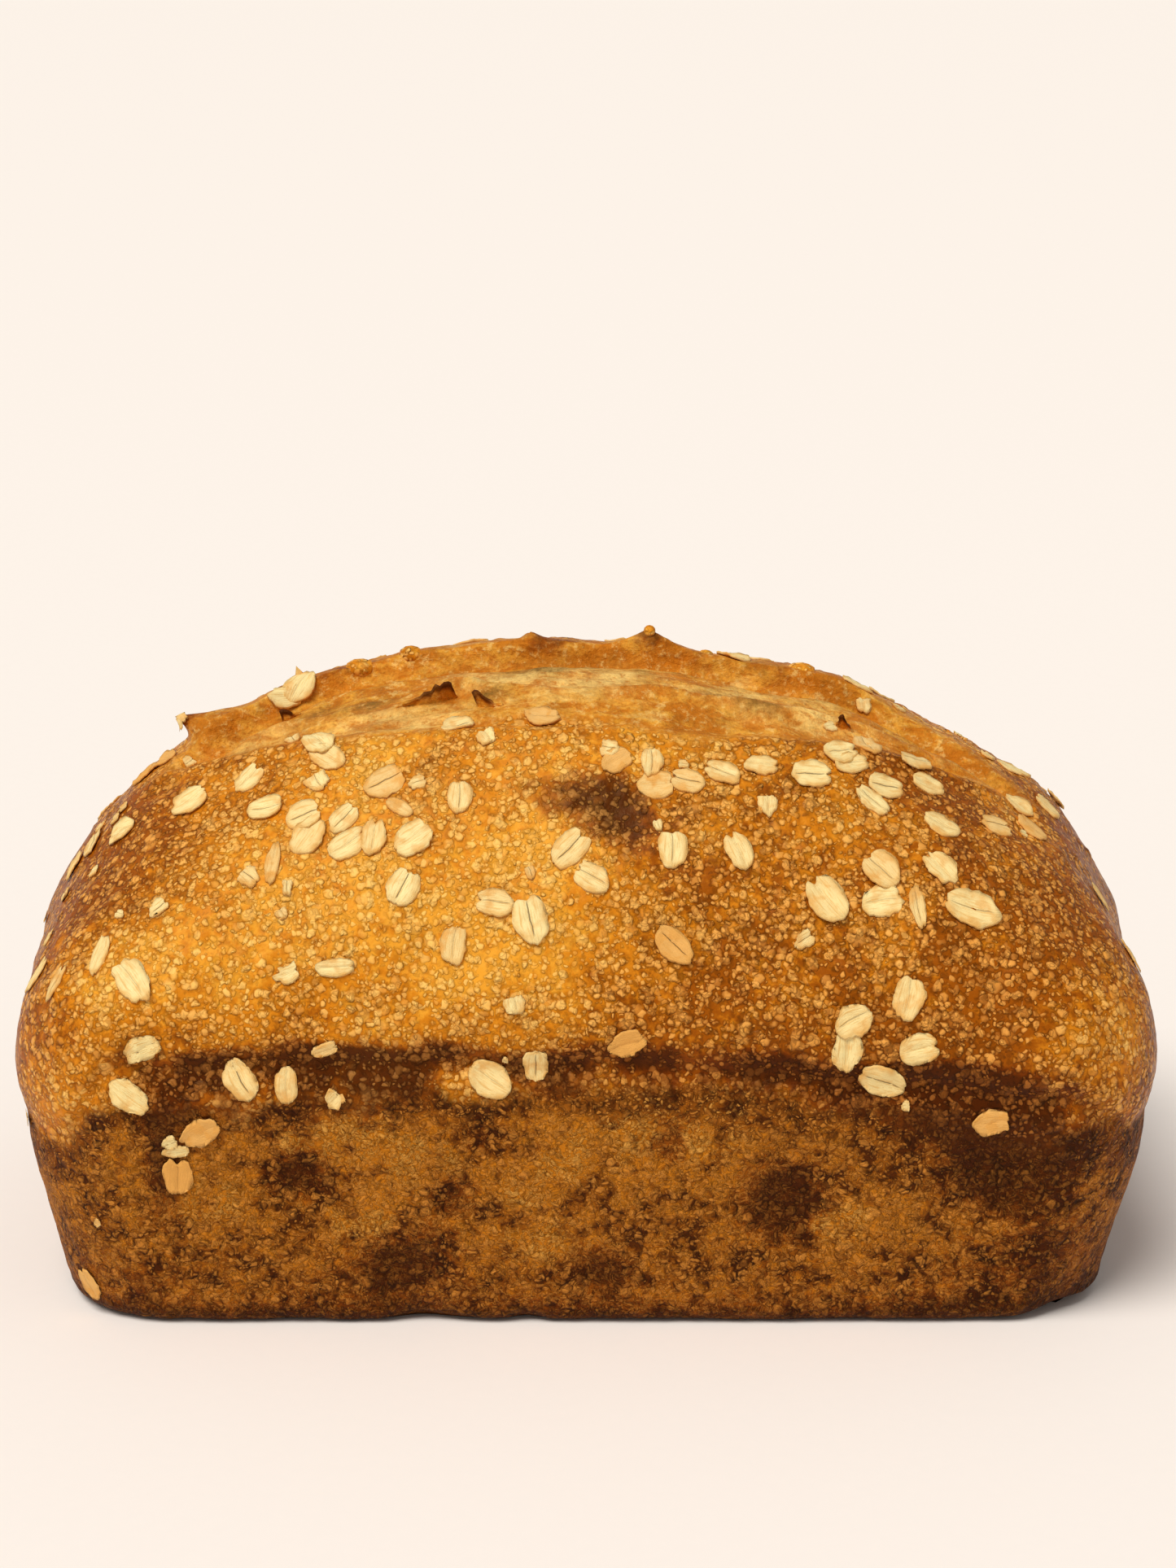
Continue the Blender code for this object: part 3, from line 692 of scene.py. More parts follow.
# Mottling: detail and roughness of its broad and fine patterns, how much finer the second is, what
# each counts for, and how widely the sum swings; then rate and depth for the score and the oats
MOTTLE_BROAD = (3.0, 0.62)
MOTTLE_FINE = (2.0, 0.65)
MOTTLE_FINER = 9.0
MOTTLE_SHARES = (0.55, 0.45)
MOTTLE_SWING = 4.0
SCORE_MOTTLE = (150.0, 0.42)
OAT_MOTTLE = (420.0, 0.10)

# Half the distances over which the crust's slope is read under an oat: along, and round in radians
SEAT_STEP = 0.0025
SEAT_TURN = 0.05
BEYOND_CRUST = 0.2

# Where the photo was taken from: the camera's place, how far it looks down, and its lens
CAMERA_PLACE = (0.0003, -0.679, 0.293)
CAMERA_DOWN = math.radians(16.05)
CAMERA_LENS = 77.0
CAMERA_SENSOR = 36.0
CAMERA_SIGHT = (0.01, 100.0)

# The floor lies this far under the loaf. The main light shines this way, in this tint
FLOOR_GAP = 0.0001
KEY_DIRECTION = (0.35, 0.50, -1.0)
KEY_TINT = (1.0, 0.985, 0.965)
SKY_TINT = (1.0, 0.99, 0.98)


def linear(red, green, blue):
    """A colour given as it looks on a screen, 0 to 255, as the scene's linear values."""
    values = []
    for channel in (red, green, blue):
        share = channel / 255
        values.append(share / 12.92 if share < 0.04045 else ((share + 0.055) / 1.055) ** 2.4)
    return tuple(values)


def length_property(name, description, default):
    """A size of the loaf, in metres."""
    return FloatProperty(name=name, description=description, default=default, min=0.0, unit="LENGTH")


def colour_property(name, description, screen_colour):
    """A colour that a user may change."""
    return FloatVectorProperty(
        name=name,
        description=description,
        default=linear(*screen_colour),
        size=3,
        min=0.0,
        max=1.0,
        subtype="COLOR",
    )


class LoafSizes(bpy.types.PropertyGroup):
    """Driving sizes of the loaf."""

    base_length: length_property("Base length", "Length of the flat base", 0.2130)
    base_width: length_property("Base width", "Width of the flat base", 0.1120)
    side_length: length_property("Side length", "Length of the loaf part-way up its tin side", 0.2260)
    side_width: length_property("Side width", "Width of the loaf part-way up its tin side", 0.1210)
    widest_length: length_property("Widest length", "Length over the bulge above the rim", 0.2308)
    widest_width: length_property("Widest width", "Width over the bulge above the rim", 0.1260)
    crown_z: length_property("Crown height", "Height of the dome over the base", 0.125)
    base_edge_radius: length_property("Base edge", "Rounding of the base's edge", 0.003)
    base_corner_radius: length_property("Base corner", "Rounding of the base's corners", 0.022)
    corner_radius: length_property("Corner", "Rounding of the upright corners at the rim", 0.025)
    rim_front_z: length_property("Rim height", "Height of the rim crease along the sides", 0.0578)
    rim_corner_z: length_property("Rim at corners", "Height of the rim crease at the corners", 0.0410)
    rim_end_z: length_property("Rim at ends", "Height of the rim crease at the ends", 0.0430)
    rim_depth: length_property("Rim depth", "Depth of the rim crease", 0.0015)
    score_depth: length_property("Score depth", "How far the opened score lies below the crust", 0.0015)
    ear_height: length_property("Ear height", "How far the score's rear edge stands up", 0.0026)
    length_fullness: FloatProperty(
        name="Fullness along",
        description="Power of the dome's outline along the loaf: 1 is an ellipse, less is fuller",
        default=0.83,
        min=0.3,
        max=1.5,
    )
    width_fullness: FloatProperty(
        name="Fullness across",
        description="Power of the dome's outline across the loaf: 1 is an ellipse, less is fuller",
        default=0.90,
        min=0.3,
        max=1.5,
    )


class CrustColours(bpy.types.PropertyGroup):
    """Colours of the crust's zones."""

    gold: colour_property("Gold", "Free crust where it browned least", (238, 161, 46))
    amber: colour_property("Amber", "Free crust of middling browning", (214, 128, 22))
    brown: colour_property("Brown", "Free crust where it browned most", (154, 78, 6))
    blister_gold: colour_property("Gold blister", "Blisters on gold crust", (254, 200, 106))
    blister_brown: colour_property("Brown blister", "Blisters on brown crust", (240, 166, 76))
    tin: colour_property("Tin brown", "Crust that baked against the tin", (146, 80, 12))
    tin_dark: colour_property("Tin dark", "Darkest grain and pits of the tin crust", (80, 34, 2))
    tin_tan: colour_property("Tin tan", "Fine tan grain of the tin crust", (212, 137, 54))
    tin_orange: colour_property("Tin orange", "Warm patches of the tin crust", (198, 118, 22))
    tin_pale: colour_property("Tin pale", "Where the tin crust lifted and stayed pale", (234, 168, 76))
    score: colour_property("Torn gold", "Inside of the opened score", (222, 154, 52))
    score_pale: colour_property("Torn pale", "Palest streaks of the score", (240, 196, 112))
    score_brown: colour_property("Torn brown", "Browned streaks of the score", (190, 108, 20))
    # The colour of the painted shadow in the score's hollows
    score_olive: colour_property("Torn olive", "Small dim blotches of the score", (134, 98, 40))
    # The darkest colour, which painted shade also darkens the crust towards
    char: colour_property("Caramel", "The darkest caramelised crust", (66, 24, 2))


class OatLook(bpy.types.PropertyGroup):
    """Size and colours of the rolled oats."""

    length: length_property("Flake length", "Length of a middling flake", 0.0085)
    width_share: FloatProperty(
        name="Width share",
        description="Width of a middling flake as a share of its length",
        default=0.70,
        min=0.3,
        max=1.0,
    )
    seed: IntProperty(name="Seed", description="Starts the draws that shape the flakes", default=41)
    cream: colour_property("Cream", "The flake's flat", (250, 226, 158))
    edge: colour_property("Gold edge", "Thin edges and fibres", (226, 166, 76))
    crease: colour_property("Crease", "The thin dark line along the flake", (104, 62, 20))
    toasted: colour_property("Toasted", "Flakes that browned", (230, 166, 80))


class StageLook(bpy.types.PropertyGroup):
    """Floor and light."""

    floor: colour_property("Floor", "Pale floor under the loaf", (251, 242, 233))
    floor_size: length_property("Floor size", "Side of the square floor", 60.0)
    key: FloatProperty(name="Key", description="Strength of the main soft light", default=2.45, min=0.0)
    key_spread: FloatProperty(
        name="Key spread",
        description="Angle over which the main light is spread",
        default=math.radians(34),
        min=0.0,
        subtype="ANGLE",
    )
    sky: FloatProperty(name="Sky", description="Strength of the even light", default=0.38, min=0.0)


def smooth_step(low, high, value):
    """Rises from 0 at low to 1 at high with level ends."""
    share = min(max((value - low) / (high - low), 0.0), 1.0)
    return share * share * (3 - 2 * share)


def hump(value, middle, width):
    """A bell of height 1 at its middle."""
    return math.exp(-((value - middle) / width) ** 2)


def noise_along(x, pattern):
    """A soft random value along the loaf, from about -1 to 1."""
    rate, *lane = pattern
    return noise.noise(Vector((x * rate, *lane)))


def mottle(point, pattern):
    """An uneven share: the pattern gives waves per metre, the middling share and its swing."""
    rate, middling, swing = pattern
    return middling + swing * noise.noise(point * rate)


def spots_at(rows, point):
    """What a table of spots adds at a point: each row is a centre, a reach and a strength."""
    return sum(amount * hump((point - Vector(centre)).length, 0.0, reach) for centre, reach, amount in rows)


def patches_at(rows, x, other, stretch):
    """What a table of patches adds at a place: each row is a place, a height or depth, and a reach."""
    return sum(hump(math.hypot((x - row[0]) * stretch, other - row[1]), 0.0, row[2]) for row in rows)


def plain_sizes(sizes):
    """The driving sizes as a plain object, which is quick to read tens of thousands of times."""
    names = sizes.__annotations__.keys()
    return type("Sizes", (), {name: getattr(sizes, name) for name in names})


def wall_half_sizes(sizes, z):
    """Half length and half width of the tin-shaped part at height z."""
    base = (sizes.base_length, sizes.base_width)
    side = (sizes.side_length, sizes.side_width)
    widest = (sizes.widest_length, sizes.widest_width)
    if z < SIDE_Z:
        low, high, share = base, side, z / SIDE_Z
    else:
        low, high, share = side, widest, (z - SIDE_Z) / (WIDEST_Z - SIDE_Z)
    inset = 0.0
    radius = sizes.base_edge_radius
    if z < radius:
        inset = radius - math.sqrt(radius**2 - (radius - z) ** 2)
    return [(low[axis] + (high[axis] - low[axis]) * share) / 2 - inset for axis in (0, 1)]


def ring_point(u, v, half_length, half_width, corner_radius, roundness):
    """A point of the loaf's outline at one height, from a rounded oblong (0) to an oval (1)."""
    radius = min(corner_radius, half_length, half_width)
    x, y = half_length * u, half_width * v
    centre = Vector((
        min(max(x, radius - half_length), half_length - radius),
        min(max(y, radius - half_width), half_width - radius),
    ))
    corner = centre + radius * (Vector((x, y)) - centre).normalized()
    oval = Vector((x, y)) / math.hypot(u, v)
    return corner.lerp(oval, roundness)


def rim_height(sizes, x, y):
    """Height of the rim crease: high along the sides, low at the corners and the ends."""
    corner = smooth_step(*RIM_LEFT_CORNER_X, -x) + smooth_step(*RIM_RIGHT_CORNER_X, x)
    wave = sum(rise * math.sin(x * along + y * across + start) for along, across, start, rise in RIM_WAVES)
    side = sizes.rim_front_z - RIM_FALL * max(x - RIM_FALL_X, 0.0) + wave
    side += (sizes.rim_corner_z - side) * corner
    end = smooth_step(*RIM_END_X, abs(x)) * smooth_step(*RIM_END_Y, abs(y))
    return side + (sizes.rim_end_z - side) * end


def outline_point(sizes, u, v, z):
    """A point of the loaf's outline at height z, where u and v run round a square."""
    if z < WIDEST_Z:
        half_length, half_width = wall_half_sizes(sizes, z)
        low, high = sizes.base_corner_radius, sizes.corner_radius
        flat = ring_point(u, v, half_length, half_width, low + (high - low) * z / WIDEST_Z, 0.0)
        return Vector((flat.x, flat.y, z))
    rise = (z - WIDEST_Z) / (sizes.crown_z - WIDEST_Z)
    level = math.sqrt(max(1 - rise**2, 0.0))
    half_length = sizes.widest_length / 2 * level**sizes.length_fullness
    half_width = sizes.widest_width / 2 * level**sizes.width_fullness
    roundness = smooth_step(*ROUNDING_RISE, rise)
    flat = ring_point(u, v, half_length, half_width, sizes.corner_radius, roundness)
    return Vector((flat.x, flat.y, z))


def form_point(sizes, u, v, w):
    """The loaf's plain form: u and v run over a square from -1 to 1, w from the base (0) up."""
    reach = max(abs(u), abs(v))
    if w < TINY:
        return outline_point(sizes, u / max(reach, TINY), v / max(reach, TINY), 0.0) * reach
    if reach < TINY:
        return Vector((0, 0, sizes.crown_z))
    if reach < 1 - TINY:
        shoulder = math.asin((SHOULDER_Z - WIDEST_Z) / (sizes.crown_z - WIDEST_Z))
        turn = shoulder + (math.pi / 2 - shoulder) * (1 - reach)
        z = WIDEST_Z + (sizes.crown_z - WIDEST_Z) * math.sin(turn)
        return outline_point(sizes, u / reach, v / reach, z)
    widest = outline_point(sizes, u, v, WIDEST_Z)
    rim_z = rim_height(sizes, widest.x, widest.y)
    if w < ROWS_BELOW_RIM:
        share = w / ROWS_BELOW_RIM
        z = rim_z * (ROWS_EVEN * share + (1 - ROWS_EVEN) * smooth_step(0.0, 1.0, share))
    else:
        z = rim_z + (SHOULDER_Z - rim_z) * (w - ROWS_BELOW_RIM) / (1 - ROWS_BELOW_RIM)
    return outline_point(sizes, u, v, z)


def tin_relief(sizes, x, y, z):
    """The rim crease with the bulge over it, the pits and the bites of the tin-baked crust."""
    above = z - rim_height(sizes, x, y)
    height = BULGE_HEIGHT * hump(above, BULGE_RISE, BULGE_WIDTH)
    height -= sizes.rim_depth * hump(above, 0.0, RIM_WIDTH)
    height *= 1 - (1 - RIM_LEFT_OVER) * smooth_step(*RIM_FADE_X, abs(x))
    if y < 0:
        for pit_x, pit_z, radius, depth in PITS:
            height -= depth * hump(math.hypot(x - pit_x, z - pit_z), 0.0, radius)
        for bite_x, half_length, depth in EDGE_BITES:
            height -= depth * hump(x, bite_x, half_length) * hump(z, 0.0, BITE_HEIGHT)
    return height


def score_lines(x):
    """The score's fade along its length, and the place across the loaf of its lip and ear."""
    along = (x - SCORE_MID_X) / SCORE_HALF_LENGTH
    fade = smooth_step(*SCORE_FADE, abs(along))
    lip = LIP_MID_Y + (SCORE_END_Y - LIP_MID_Y) * along**2
    rate, height = EAR_WAVE
    ear = EAR_MID_Y + (SCORE_END_Y - EAR_MID_Y) * along**4 + height * math.sin(x * rate)
    return fade, lip, ear


def ear_span(x):
    """1 where the ear stands along the loaf, fading to 0 at its ends."""
    return smooth_step(*EAR_START_X, x) * smooth_step(*EAR_STOP_X, x)


def ridge_profile(offset):
    """A torn layer's edge: it climbs slowly from the front and drops steeply behind."""
    if offset < 0:
        return smooth_step(-RIDGE_RISE, 0.0, offset)
    return smooth_step(RIDGE_DROP, 0.0, offset)


def score_relief(sizes, x, y):
    """The opened score: a lip, a hollowed torn band with a ridge along it, and the rear ear."""
    fade, lip, ear = score_lines(x)
    if fade <= 0.0:
        return 0.0
    stray_x, stray_reach, stray = RIDGE_STRAY
    wander = RIDGE_WANDER * noise_along(x, RIDGE_NOISE)
    ridge = lip + (ear - lip) * RIDGE_SHARE + stray * hump(x, stray_x, stray_reach) + wander
    ragged = RIDGE_RAGGED[0] + RIDGE_RAGGED[1] * noise_along(x, RAGGED_NOISE)
    height = LIP_HEIGHT * hump(y, lip, LIP_WIDTH)
    opened = smooth_step(lip, lip + SCORE_SLOPE, y) * smooth_step(ear, ear - SCORE_SLOPE, y)
    height -= sizes.score_depth * opened
    height += RIDGE_HEIGHT * ragged * ridge_profile(y - ridge)
    height -= HOLLOW_DEPTH * hump(y, ear - HOLLOW_SETBACK, HOLLOW_WIDTH)
    uneven = EAR_UNEVEN[0] + EAR_UNEVEN[1] * noise_along(x, EAR_NOISE)
    behind = smooth_step(ear + EAR_STEP[0], ear + EAR_STEP[1], y)
    behind *= math.exp(-max(y - ear, 0.0) / EAR_FALL)
    height += sizes.ear_height * ear_span(x) * uneven * behind
    for along, across, lane, share in STREAKS:
        height += STREAK_HEIGHT * share * opened * noise.noise(Vector((x * along, y * across, lane)))
    return height * fade


def bubble_height(point):
    """Height of the larger bubbles of the free crust at a point."""
    height = 0.0
    for rate, rise, share in BUBBLES:
        distances, centres = noise.voronoi(point * rate)
        present = noise.cell(centres[0] * CELL_RATE) * 0.5 + 0.5
        radius = share * (BUBBLE_SMALLEST + (1 - BUBBLE_SMALLEST) * present)
        if present > BUBBLE_MISSING and distances[0] < radius:
            height += rise * present * (1 - (distances[0] / radius) ** 2)
    return height


def band_reach(x, y):
    """How far the dark band, caramelised with painted shade, goes down below the rim at a place."""
    if y > FRONT_Y:
        return REAR_BAND_BELOW
    shares = [(hump(x, middle, half_length), reach) for middle, half_length, _, reach in RIM_BAND]
    total = sum(share for share, _ in shares)
    return sum(share * reach for share, reach in shares) / max(total, BAND_LEAST_SHARE)


def crust_zones(sizes, point):
    """How far a point of the crust belongs to the tin side (0 to 1) and to the opened score."""
    x, y, z = point
    uneven = sum(reach * noise.noise(point * rate) for rate, reach in ZONE_DRIFT)
    above = z - rim_height(sizes, x, y) + uneven
    skirt = SKIRT_SHARE * band_reach(x, y) * smooth_step(*SKIRT_FADE_X, abs(x))
    tin = smooth_step(*ZONE_BLUR, above + skirt)
    fade, lip, ear = score_lines(x)
    wander = LIP_DRIFT * noise_along(x, EDGE_NOISE)
    wander += LIP_FINE_DRIFT[1] * noise.noise(point * LIP_FINE_DRIFT[0])
    tongue = CRUST_TONGUE[2] * hump(x, *CRUST_TONGUE[:2])
    inside = smooth_step(lip + LIP_BLUR[0], lip + LIP_BLUR[1], y + wander - tongue)
    inside *= smooth_step(ear + EAR_BLUR[0], ear + EAR_BLUR[1], y + wander)
    score = inside * fade * smooth_step(*SCORE_RISE_Z, z)
    return tin, score


def crust_relief(sizes, point, tin, score):
    """How far the crust stands off the plain form, along the form's normal."""
    x, y, z = point
    height = tin_relief(sizes, x, y, z)
    height += spots_at(SWELLS, point)
    if z > SCORE_RISE_Z[0]:
        height += score_relief(sizes, x, y) * smooth_step(*SCORE_RISE_Z, z)
    free = smooth_step(0.0, FREE_CRUST_RISE, z - rim_height(sizes, x, y))
    for rate, tin_height, free_height in UNEVEN + FINE_UNEVEN:
        height += (tin_height + (free_height - tin_height) * free) * noise.noise(point * rate)
    swelling = (1 - tin) * (1 - BUBBLES_LOST_IN_SCORE * score) * smooth_step(*BUBBLES_FADE_X, abs(x))
    height += bubble_height(point) * swelling
    return height


def rim_band(sizes, point):
    """How dark the band along the rim is at a point: caramelised, with painted shade under the bulge."""
    x, y, z = point
    above = z - rim_height(sizes, x, y) - RIM_BAND_RISE
    above += BAND_WAVER[1] * noise.noise(point * BAND_WAVER[0])
    if y < FRONT_Y:
        strength = sum(amount * hump(x, middle, reach) for middle, reach, amount, _ in RIM_BAND)
    else:
        rate, middling, swing = REAR_BAND
        strength = middling + swing * noise.noise(Vector((x * rate, y * rate, 0.0)) + Vector(REAR_BAND_LANE))
    shape = hump(above, 0.0, RIM_BAND_ABOVE if above > 0 else band_reach(x, y))
    rate, swing = BAND_MOTTLE
    least, most = BAND_STRENGTHS
    return shape * min(max(strength, least), most) * (1 + swing * noise.noise(point * rate))


def browned_crest(x, y, line, crest, pattern):
    """How browned a crest is at a place, beside the line that it follows across the loaf."""
    behind, width, strength, middling, swing = crest
    patchy = max(middling + swing * noise_along(x, pattern), 0.0)
    return strength * hump(y, line + behind, width) * patchy


def scorch_and_shade(sizes, point, tin):
    """How far a point of the crust is darkened: the rim band with its painted shade, spots of scorching
    and dark pits, and painted shade along the base and on the rim crease.
    """
    x, y, z = point
    value = rim_band(sizes, point)
    value += spots_at(SCORCHED_SPOTS, point)
    if y < 0:
        for pit_x, pit_z, radius, depth in PITS:
            apart = math.hypot(x - pit_x, z - pit_z)
            value += PIT_DARKENING * depth * hump(apart, 0.0, radius * PIT_DARKENING_REACH)
        for mark_x, mark_z, half_width, half_height, strength in FRONT_STREAKS_AND_SHADE:
            value += strength * hump(x, mark_x, half_width) * hump(z, mark_z, half_height)
    else:
        rate, rarity, strength = REAR_CLOUDS
        value += strength * tin * max(noise.noise(point * rate) - rarity, 0.0)
    # Painted shade towards the base, and darkening at both ends of the loaf
    darker = [(z, *row) for row in TIN_SHADE_LOW] + [(x, *TIN_DARK_RIGHT), (-x, *TIN_DARK_LEFT)]
    value += tin * sum(amount * smooth_step(start, stop, place) for place, start, stop, amount in darker)
    value += FINE_DARK * tin * fine_share(sizes, point)
    if z < SCORE_RISE_Z[0]:
        return value
    fade, lip, ear = score_lines(x)
    rate, wander = LIP_CREST_WANDER
    value += ear_span(x) * browned_crest(x, y, ear, EAR_CREST, EAR_CREST_NOISE)
    y += wander * noise.noise(point * rate)
    return value + fade * browned_crest(x, y, lip, LIP_CREST, LIP_CREST_NOISE)


def browning(point):
    """How far the free crust browned at a point, from gold (0) to brown (1), with one painted highlight."""
    value = BROWN_MIDDLE + BROWN_LOW[2] * smooth_step(BROWN_LOW[0], BROWN_LOW[1], point.z)
    value += spots_at(BROWNING_AND_HIGHLIGHT_SPOTS, point)
    return value + sum(amount * noise.noise(point * rate) for rate, amount in BROWN_DRIFT)


def pale_share(point, tin, score):
    """How pale the crust stayed at a point of the tin side or of the score."""
    x, y, z = point
    if score > SCORE_FAINT:
        value = patches_at(SCORE_PALE, x, y, SCORE_PALE_STRETCH)
        return min(value, 1.0) * score * mottle(point, SCORE_PALE_MOTTLE)
    if y < 0:
        value = patches_at(PALE_PATCHES, x, z, PALE_STRETCH)
    else:
        rate, place, strength, rarity = REAR_PALE
        value = max(noise.noise(point * rate + Vector(place)) * strength - rarity, 0.0)
    return tin * value * mottle(point, PALE_MOTTLE)


def shadow_share(point, score):
    """How much painted shadow, dull and olive, lies on a point of the opened score."""
    value = patches_at(SCORE_SHADOWS, point.x, point.y, SCORE_SHADOW_STRETCH)
    return score * value * mottle(point, SCORE_SHADOW_MOTTLE)


def fine_share(sizes, point):
    """1 where the tin crust is fine-grained under the rim, fading to 0 lower down."""
    rate, reach = FINE_GRAIN_DRIFT
    below = rim_height(sizes, point.x, point.y) - point.z + reach * noise.noise(point * rate)
    return smooth_step(*FINE_GRAIN, below)


def store_share(mesh, name, values):
    """Keep one number for each vertex, for a material to read."""
    attribute = mesh.attributes.new(name, "FLOAT", "POINT")
    attribute.data.foreach_set("value", [min(max(value, 0.0), 1.0) for value in values])


def grid_box(cells):
    """A closed box from -1 to 1 with a grid on its faces."""
    box = bmesh.new()
    bmesh.ops.create_cube(box, size=2.0)
    for axis, number in enumerate(cells):
        along = [
            edge for edge in box.edges
            if abs((edge.verts[0].co - edge.verts[1].co).normalized()[axis]) > NEARLY_ALONG
        ]
        bmesh.ops.subdivide_edges(box, edges=along, cuts=number - 1, use_grid_fill=True)
    return box


def crust_under(tree, x, y):
    """The crust straight down from above a place."""
    return tree.ray_cast(Vector((x, y, BEYOND_CRUST)), Vector((0, 0, -1)))[0]


def draw_out_points(crust):
    """Draw the ear out into its horn and points, and return how scorched each moved vertex is."""
    tree = BVHTree.FromBMesh(crust)
    start, stop, most = DRAWN_SCORCH
    darkened = {}
    for x, y, height, reach, lean_x, lean_y in DRAWN_POINTS:
        foot = crust_under(tree, x, y)
        for vert in crust.verts:
            apart = (vert.co - foot).length
            if apart < reach:
                share = 1 - apart / reach
                darkening = most * smooth_step(start, stop, share)
                darkened[vert] = max(darkened.get(vert, 0.0), darkening)
                vert.co += Vector((lean_x, lean_y, height)) * share**DRAWN_TAPER
    return darkened


def shape_crust(sizes):
    """The crust as a bmesh with its zones, one number for each vertex in each."""
    crust = grid_box(CELLS)
    under = [
        vert for vert in crust.verts
        if vert.co.z < -INSIDE_FACE and max(abs(vert.co.x), abs(vert.co.y)) < INSIDE_FACE
    ]
    for vert in crust.verts:
        vert.co = form_point(sizes, vert.co.x, vert.co.y, (vert.co.z + 1) / 2)
    bmesh.ops.dissolve_verts(crust, verts=under)
    crust.normal_update()
    crust.verts.index_update()
    zones = {name: [] for name in ZONE_NAMES}
    moves = []
    for vert in crust.verts:
        point = vert.co.copy()
        tin, score = crust_zones(sizes, point)
        normal = vert.normal.copy()
        if point.z < TINY:
            normal = Vector((normal.x, normal.y, 0.0)).normalized()
        move = normal * crust_relief(sizes, point, tin, score)
        ear = score_lines(point.x)[2]
        if score > 0.0:
            overhang, behind, width = EAR_OVERHANG
            move.y -= overhang * ear_span(point.x) * hump(point.y, ear + behind, width)
        moves.append(move)
        shares = {
            "tin": tin,
            "score": score,
            "char": scorch_and_shade(sizes, point, tin),
            "pale": pale_share(point, tin, score),
            "brown": browning(point),
            "dim": shadow_share(point, score),
            "fine": fine_share(sizes, point),
        }
        for name, share in shares.items():
            zones[name].append(share)
    for vert, move in zip(crust.verts, moves):
        vert.co += move
    for vert, darkening in draw_out_points(crust).items():
        zones["char"][vert.index] = max(zones["char"][vert.index], darkening)
    bmesh.ops.recalc_face_normals(crust, faces=crust.faces)
    return crust, zones


def surface_point(tree, x, angle):
    """The crust where a ray from the loaf's long axis, raised to its widest, leaves it."""
    start = Vector((x, 0.0, WIDEST_Z))
    direction = Vector((0.0, -math.cos(angle), math.sin(angle)))
    return tree.ray_cast(start + direction * BEYOND_CRUST, -direction)[0]


def seat(tree, x, angle):
    """Place and level of the crust at x and angle, as a matrix whose Z points outwards."""
    point = surface_point(tree, x, angle)
    ends = [surface_point(tree, x + step, angle) for step in (-SEAT_STEP, SEAT_STEP)]
    sides = [surface_point(tree, x, angle + turn) for turn in (-SEAT_TURN, SEAT_TURN)]
    along = (ends[1] - ends[0]).normalized()
    outward = along.cross(sides[1] - sides[0]).normalized()
    level = Matrix((along, outward.cross(along), outward)).transposed().to_4x4()
    return Matrix.Translation(point) @ level


def add_flap(flaps, tree, row, share_layers):
    """Raise one torn flap: a thin ragged sheet that climbs to a tip and leans over the score."""
    x, y, length, height, tip, lean_x, lean_y, slant = row
    char_layer, score_layer, brown_layer = share_layers
    made = bmesh.ops.create_grid(flaps, x_segments=FLAP_GRID[0], y_segments=FLAP_GRID[1], size=1.0)
    faces = {face for vert in made["verts"] for face in vert.link_faces}
    for vert in made["verts"]:
        along, up = vert.co.x * 0.5 + 0.5, vert.co.y * 0.5 + 0.5
        foot = crust_under(tree, x + (along - 0.5) * length, y + (along - 0.5) * slant)
        climb = max(along / tip if along < tip else (1 - along) / (1 - tip), 0.0)
        rate, swing = FLAP_RAGGED
        ragged = 1 + swing * noise.noise(Vector((along * length * rate, y * rate, 0.0)))
        rise = height * climb**FLAP_CLIMB * ragged
        curl = Vector((lean_x, lean_y, 0.0)) * up**FLAP_CURL * climb
        waves_along, waves_up, lane_rate, reach = FLAP_SAG
        sag = reach * noise.noise(Vector((along * waves_along, up * waves_up, x * lane_rate)))
        vert.co = foot + Vector((0, sag, rise * up - FLAP_FOOT * (1 - up))) + curl
        tip_share = smooth_step(*FLAP_SCORCH_UP, up) * smooth_step(*FLAP_SCORCH_CLIMB, climb)
        vert[char_layer] = FLAP_SCORCH * tip_share
        vert[score_layer] = 1.0
        vert[brown_layer] = FLAP_BROWN
    bmesh.ops.recalc_face_normals(flaps, faces=list(faces))
    bmesh.ops.solidify(flaps, geom=list(faces), thickness=FLAP_THICKNESS)


def add_knob(flaps, tree, row, brown_layer):
    """Set one round blister on the crust."""
    x, y, radius, high, sink = row
    foot = crust_under(tree, x, y)
    made = bmesh.ops.create_icosphere(flaps, subdivisions=2, radius=radius)
    bmesh.ops.scale(flaps, verts=made["verts"], vec=(1.0, KNOB_WIDTH, high))
    bmesh.ops.translate(flaps, verts=made["verts"], vec=foot - Vector((0, 0, sink)))
    for vert in made["verts"]:
        vert[brown_layer] = KNOB_BROWN


